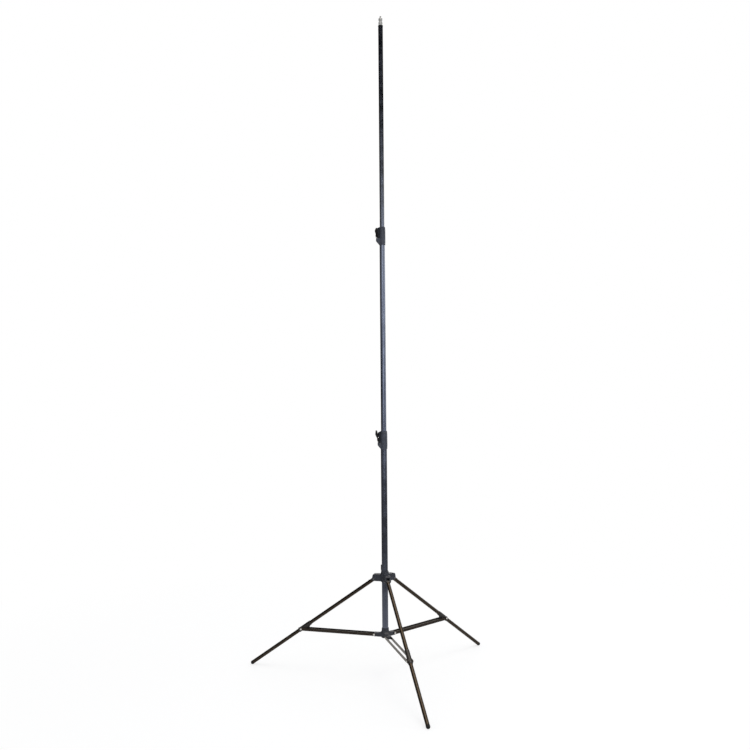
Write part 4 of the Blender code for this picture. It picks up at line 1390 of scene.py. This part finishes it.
@dataclass
class Leg(Assembly):
    """A leg tube with its eye, strut bracket and rubber foot."""

    number: int
    plan: Plan = PLAN
    radius: float = 0.0075
    wall: float = 0.001
    start: float = 0.0113
    foot_rim: float = 0.005
    eye_rivet: float = 0.023
    bracket_radius: float = 0.0092
    bracket_rivet: float = 0.0085
    rivet_depth: float = 0.003
    rivet_sink: float = 0.0001
    edge: float = 0.0004
    rim: float = 0.0003
    sides: int = 48

    @property
    def body(self) -> str:
        """Name of the leg's body."""
        return f"leg_{self.number}"

    @property
    def seat(self) -> Matrix:
        """Frame of the leg."""
        return self.plan.leg(self.number)

    def build(self) -> None:
        """Build the leg."""
        self.build_tube()
        self.build_foot()
        for part in ("eye", "bracket"):
            node = f"{self.body}_{part}"
            piece = SHOP.ease(SHOP.whole_copy(node, f"{node}_body"), self.edge)
            self.fitter.fit(piece, self.body, "casting", node)
        self.build_fixings()

    def build_tube(self) -> None:
        """Draw the leg tube and round its rims."""
        end = self.plan.leg_reach - self.foot_rim - self.plan.gap
        inner = self.radius - self.wall
        outline = [
            (inner, self.start),
            (self.radius - self.rim, self.start),
            (self.radius, self.start + self.rim),
            (self.radius, end - self.rim),
            (self.radius - self.rim, end),
            (inner, end),
        ]
        along = self.seat @ ALONG_X
        tube = SHOP.turned(f"{self.body}_tube_drawn", outline, self.sides, along, hollow=True)
        SHOP.lay_grain(SHOP.smooth(tube), along)
        self.fitter.fit(tube, self.body, "leg", f"{self.body}_tube")

    def build_foot(self) -> None:
        """Mould the rubber foot and trim the flat on which it stands."""
        reach = self.plan.leg_reach
        radius = self.plan.foot_radius
        rim = reach - self.foot_rim
        spigot = self.radius - self.wall - self.plan.gap
        outline = [
            (spigot * 0.8, rim - 0.020),
            (spigot, rim - 0.018),
            (spigot, rim),
            (radius - 0.0005, rim),
            (radius - 0.0001, rim + 0.0004),
        ]
        for groove in (rim + 0.0012, rim + 0.0032):
            outline += [
                (radius, groove),
                (radius - 0.0003, groove + 0.0003),
                (radius - 0.0003, groove + 0.0007),
                (radius, groove + 0.0010),
            ]
        steps = 12
        for step in range(steps):
            angle = math.pi / 2 * step / steps
            outline.append((radius * math.cos(angle), reach + radius * math.sin(angle)))
        foot = SHOP.turned(f"{self.body}_foot_moulded", outline, self.sides, self.seat @ ALONG_X)
        SHOP.cut(foot, (0.0, 0.0, 0.0), (0.0, 0.0, -1.0), shave=True)
        SHOP.smooth(foot, angle=35.0)
        self.fitter.fit(foot, self.body, "rubber", f"{self.body}_foot")

    def build_fixings(self) -> None:
        """Set the blind rivets of the eye and of the bracket."""
        bracket = self.plan.bracket_distance + self.bracket_rivet
        for part, reach, radius in (
            ("eye_fixing", self.eye_rivet, self.radius),
            ("bracket_fixing", bracket, self.bracket_radius),
        ):
            spot = self.seat @ Matrix.Translation((reach, 0.0, radius - self.rivet_sink))
            rivet = BLIND_RIVET.blind(f"{self.body}_{part}", self.rivet_depth, spot)
            self.fitter.fit(rivet, self.body, "dull_steel")


@dataclass
class Strut(Assembly):
    """A pair of flat bars that ties a leg to the spider."""

    number: int
    plan: Plan = PLAN
    edge: float = 0.0003
    lug_half: float = 0.0098
    bar_outside: float = 0.0118

    @property
    def body(self) -> str:
        """Name of the strut's body."""
        return f"strut_{self.number}"

    def build(self) -> None:
        """Build the bars and the rivet ends of their outer pivot."""
        seat = self.plan.strut(self.number)
        pivot = seat @ Matrix.Translation((self.plan.strut_length, 0.0, 0.0))
        for side, turn in (("left", 0.0), ("right", math.pi)):
            node = f"{self.body}_bar_{side}"
            bar = SHOP.ease(SHOP.whole_copy(node, f"{node}_sheared"), self.edge, clamp=False)
            SHOP.lay_grain(bar, seat @ ALONG_X)
            self.fitter.fit(bar, self.body, "bar", node)
            node = f"{self.body}_rivet_{side}"
            low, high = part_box(node)
            side_frame = pivot @ Matrix.Rotation(turn, 4, "Z")
            middle = side_frame.inverted() @ ((low + high) / 2)
            if middle.y < 0.0:
                side_frame = side_frame @ Matrix.Rotation(math.pi, 4, "Z")
            rivet = PIVOT_RIVET.one_ended(
                f"{node}_domed",
                self.lug_half,
                self.bar_outside + self.plan.gap,
                side_frame @ ALONG_Y,
            )
            self.fitter.fit(rivet, self.body, "steel", node)


# Picture


@dataclass
class Studio:
    """Floor, world, lamps and camera."""

    camera_distance: float = 3.798
    camera_height: float = 1.2421
    camera_turn: float = 14.36
    focal_pixels: float = 927.24
    image_pixels: float = 750.0
    yaw: float = -0.51
    pitch: float = 0.16
    roll: float = -0.46
    floor_size: float = 16.0
    floor_height: float = -0.0002
    room_level: float = 0.62
    flag_towards: Point = (-0.714, 0.700, 0.0)
    bands: tuple[tuple[float, Colour], ...] = (
        (-1.0, (0.30, 0.30, 0.31)),
        (-0.08, (0.36, 0.37, 0.39)),
        (0.0, (0.66, 0.68, 0.72)),
        (0.08, (0.70, 0.72, 0.76)),
        (0.13, (1.95, 1.95, 1.90)),
        (0.17, (1.04, 0.96, 0.78)),
        (0.20, (0.26, 0.23, 0.17)),
        (0.23, (0.0, 0.0, 0.0)),
        (0.66, (0.0, 0.0, 0.0)),
        (0.82, (1.5, 1.34, 1.16)),
        (1.0, (1.6, 1.43, 1.24)),
    )

    def build(self) -> None:
        """Build all of it."""
        self.add_world()
        self.add_floor()
        self.add_lamps()
        self.add_camera()
        bpy.context.scene.view_settings.view_transform = "Standard"

    def add_world(self) -> None:
        """White backdrop for the camera, flagged backdrop for gloss, plain room for the rest."""
        world = bpy.data.worlds.new("studio")
        bpy.context.scene.world = world
        bench = NodeBench(world)
        white = bench.tree.nodes["Background"]
        white.inputs["Color"].default_value = (1.0, 1.0, 1.0, 1.0)
        room = bench.add("ShaderNodeBackground")
        flagged = bench.add("ShaderNodeBackground")
        room.inputs["Color"].default_value = (0.97, 0.98, 1.0, 1.0)
        room.inputs["Strength"].default_value = self.room_level
        direction = bench.add("ShaderNodeTexCoord").outputs["Generated"]
        bench.link(self.add_bands(bench, direction), flagged.inputs["Color"])
        bench.link(self.add_side_flag(bench, direction), flagged.inputs["Strength"])
        path = bench.add("ShaderNodeLightPath")
        shader = room.outputs["Background"]
        for share, backdrop in (
            (bench.sent_on(path), flagged), (path.outputs["Is Camera Ray"], white)
        ):
            mix = bench.add("ShaderNodeMixShader")
            bench.link(share, mix.inputs["Fac"])
            bench.link(shader, mix.inputs[1])
            bench.link(backdrop.outputs["Background"], mix.inputs[2])
            shader = mix.outputs["Shader"]
        bench.show(shader)

    def add_bands(self, bench: NodeBench, direction: Socket) -> Socket:
        """Band the backdrop by height: white at eye level, dark above it, warm overhead.

        Args:
            bench: The world's nodes.
            direction: The socket with the direction.

        Returns:
            The socket with the colour.
        """
        split = bench.add("ShaderNodeSeparateXYZ")
        bench.link(direction, split.inputs["Vector"])
        shift = bench.add("ShaderNodeMath", operation="MULTIPLY_ADD")
        shift.inputs[1].default_value = 0.5
        shift.inputs[2].default_value = 0.5
        bench.link(split.outputs["Z"], shift.inputs[0])
        ramp = bench.add("ShaderNodeValToRGB")
        ramp.color_ramp.interpolation = "EASE"
        bench.link(shift.outputs["Value"], ramp.inputs["Fac"])
        stops = ramp.color_ramp.elements
        stops[0].position, stops[0].color = 0.0, (*self.bands[0][1], 1.0)
        stops[1].position, stops[1].color = 1.0, (*self.bands[-1][1], 1.0)
        for height, colour in self.bands[1:-1]:
            stop = stops.new(0.5 + 0.5 * height)
            stop.color = (*colour, 1.0)
        return ramp.outputs["Color"]

    def add_side_flag(self, bench: NodeBench, direction: Socket) -> Socket:
        """Dim the backdrop towards the back left.

        Args:
            bench: The world's nodes.
            direction: The socket with the direction.

        Returns:
            The socket with the strength.
        """
        dot = bench.add("ShaderNodeVectorMath", operation="DOT_PRODUCT")
        dot.inputs[1].default_value = self.flag_towards
        bench.link(direction, dot.inputs[0])
        return bench.spread(dot.outputs["Value"], 0.30, 0.75, 1.0, 0.10)

    def add_floor(self) -> None:
        """Pale floor that keeps soft shadows and fades into the backdrop."""
        bench = NodeBench(bpy.data.materials.new("floor_white"))
        away = bench.add("ShaderNodeVectorMath", operation="LENGTH")
        bench.link(bench.coordinates(Rest.PLACE), away.inputs[0])
        reach = away.outputs["Value"]
        paint = bench.mixed(
            bench.spread(reach, 0.9, 2.4, 1.0, 0.0), (0.0, 0.0, 0.0), (0.42, 0.42, 0.42)
        )
        bench.link(paint, bench.shader.inputs["Base Color"])
        bench.shader.inputs["Roughness"].default_value = 1.0
        bench.shader.inputs[SPECULAR].default_value = 0.0
        path = bench.add("ShaderNodeLightPath")
        gloss = bench.sent_on(path)
        seen = bench.spread(reach, 0.9, 2.4, 0.65, 1.0)
        mirrored = bench.spread(reach, 0.7, 1.4, 0.34, 0.20)
        glow = bench.combine(
            "ADD",
            bench.combine("MULTIPLY", path.outputs["Is Camera Ray"], seen),
            bench.combine("MULTIPLY", gloss, mirrored),
        )
        light = bench.add("ShaderNodeEmission")
        tint = bench.mixed(gloss, (1.0, 1.0, 1.0), (1.0, 0.94, 0.87))
        bench.link(tint, light.inputs["Color"])
        bench.link(glow, light.inputs["Strength"])
        both = bench.add("ShaderNodeAddShader")
        bench.link(bench.shader.outputs["BSDF"], both.inputs[0])
        bench.link(light.outputs["Emission"], both.inputs[1])
        bench.show(both.outputs["Shader"])
        floor = SHOP.circle(
            "studio_floor", self.floor_size / 2, self.floor_height, sides=96, filled=True
        )
        SHOP.place(floor)
        floor.data.materials.append(bench.owner)

    def add_lamps(self) -> None:
        """Soft lamps round the stand."""
        cool, warm, plain = (0.92, 0.96, 1.0), (1.0, 0.97, 0.93), (1.0, 0.99, 0.97)
        self.add_lamp("front_softbox", (-0.2, -5.0, 1.7), size=2.0, power=32.0, colour=cool)
        self.add_lamp("right_softbox", (4.6, -1.7, 1.7), size=2.0, power=22.0, colour=cool)
        self.add_lamp("overhead_fill", (0.6, -0.4, 5.4), size=2.6, power=50.0, colour=warm)
        self.add_lamp("back_fill", (1.6, 4.6, 2.4), size=2.4, power=26.0, colour=plain)

    def add_lamp(
        self, name: str, place: Point, size: float, power: float, colour: Colour
    ) -> None:
        """Add a square soft lamp that faces the stand.

        Args:
            name: The lamp's name.
            place: Where it hangs.
            size: Length of its sides.
            power: Its power in watts.
            colour: Its colour.
        """
        data = bpy.data.lights.new(name, "AREA")
        data.shape = "SQUARE"
        data.size = size
        data.energy = power
        data.color = colour
        lamp = bpy.data.objects.new(name, data)
        bpy.context.scene.collection.objects.link(lamp)
        lamp.location = place
        aim = Vector((0.0, 0.0, 1.1)) - Vector(place)
        lamp.rotation_euler = aim.to_track_quat("-Z", "Y").to_euler()

    def add_camera(self) -> None:
        """Stand the camera where the picture was taken from."""
        yaw, pitch, roll = (math.radians(a) for a in (self.yaw, self.pitch, self.roll))
        ahead = Vector(
            (math.sin(yaw) * math.cos(pitch), math.cos(yaw) * math.cos(pitch), -math.sin(pitch))
        )
        level = Vector((math.cos(yaw), -math.sin(yaw), 0.0))
        upright = level.cross(ahead)
        right = level * math.cos(roll) + upright * math.sin(roll)
        up = upright * math.cos(roll) - level * math.sin(roll)
        axes = Matrix((right, up, -ahead)).transposed().to_4x4()
        place = Matrix.Translation((0.0, -self.camera_distance, self.camera_height)) @ axes
        data = bpy.data.cameras.new("picture_camera")
        data.sensor_width = 36.0
        data.lens = self.focal_pixels / self.image_pixels * data.sensor_width
        data.clip_start = 0.05
        camera = bpy.data.objects.new("picture_camera", data)
        bpy.context.scene.collection.objects.link(camera)
        camera.matrix_world = Matrix.Rotation(-math.radians(self.camera_turn), 4, "Z") @ place
        bpy.context.scene.camera = camera


def dress_solids(fitter: Fitter) -> None:
    """Give the solids that no fine piece stands for their finish.

    Args:
        fitter: Holds the finishes.
    """
    finish_of_slot = {
        "mast_paint": "mast",
        "leg_paint": "leg",
        "moulding": "moulding",
        "knob": "knob",
        "nylon": "nylon",
        "rubber": "rubber",
        "bright_steel": "steel",
        "brass": "brass",
    }
    for part in frame["record"]["subparts"]:
        fitter.paint(frame["nodes"][part["node"]], finish_of_slot[part["material_slot"]])


def main() -> None:
    """Dress the stand and set up the picture."""
    logging.basicConfig(level=logging.INFO, format="%(name)s: %(message)s")
    palette = Palette()
    fitter = Fitter({name: getattr(palette, name).build() for name in palette.__dataclass_fields__})
    dress_solids(fitter)
    assemblies = [
        MastTube(fitter, "bottom_tube", "column", radius=0.0125),
        MastTube(fitter, "middle_tube", "middle_section", radius=0.0110),
        MastTube(fitter, "top_tube", "top_section", radius=0.0095),
        MastLock(fitter, "lower", "column", top=1.002, turn=180.0, tube_radius=0.0125),
        MastLock(fitter, "upper", "middle_section", top=1.837, turn=128.0, tube_radius=0.0110),
        TopStud(fitter),
        CastHub(
            fitter, "lower_spider", "column", "strut_pivot_rivet", PLAN.strut_pivot_height, "steel"
        ),
        CastHub(
            fitter,
            "leg_collar",
            "leg_slider",
            "leg_pivot_rivet",
            PLAN.leg_pivot_height,
            "dull_steel",
        ),
        SpiderFixing(fitter),
        *(Leg(fitter, number) for number in (1, 2, 3)),
        *(Strut(fitter, number) for number in (1, 2, 3)),
    ]
    for assembly in assemblies:
        assembly.build()
    LOG.info("%d fine pieces", fitter.count)
    Studio().build()


if __name__ == "__main__":
    main()
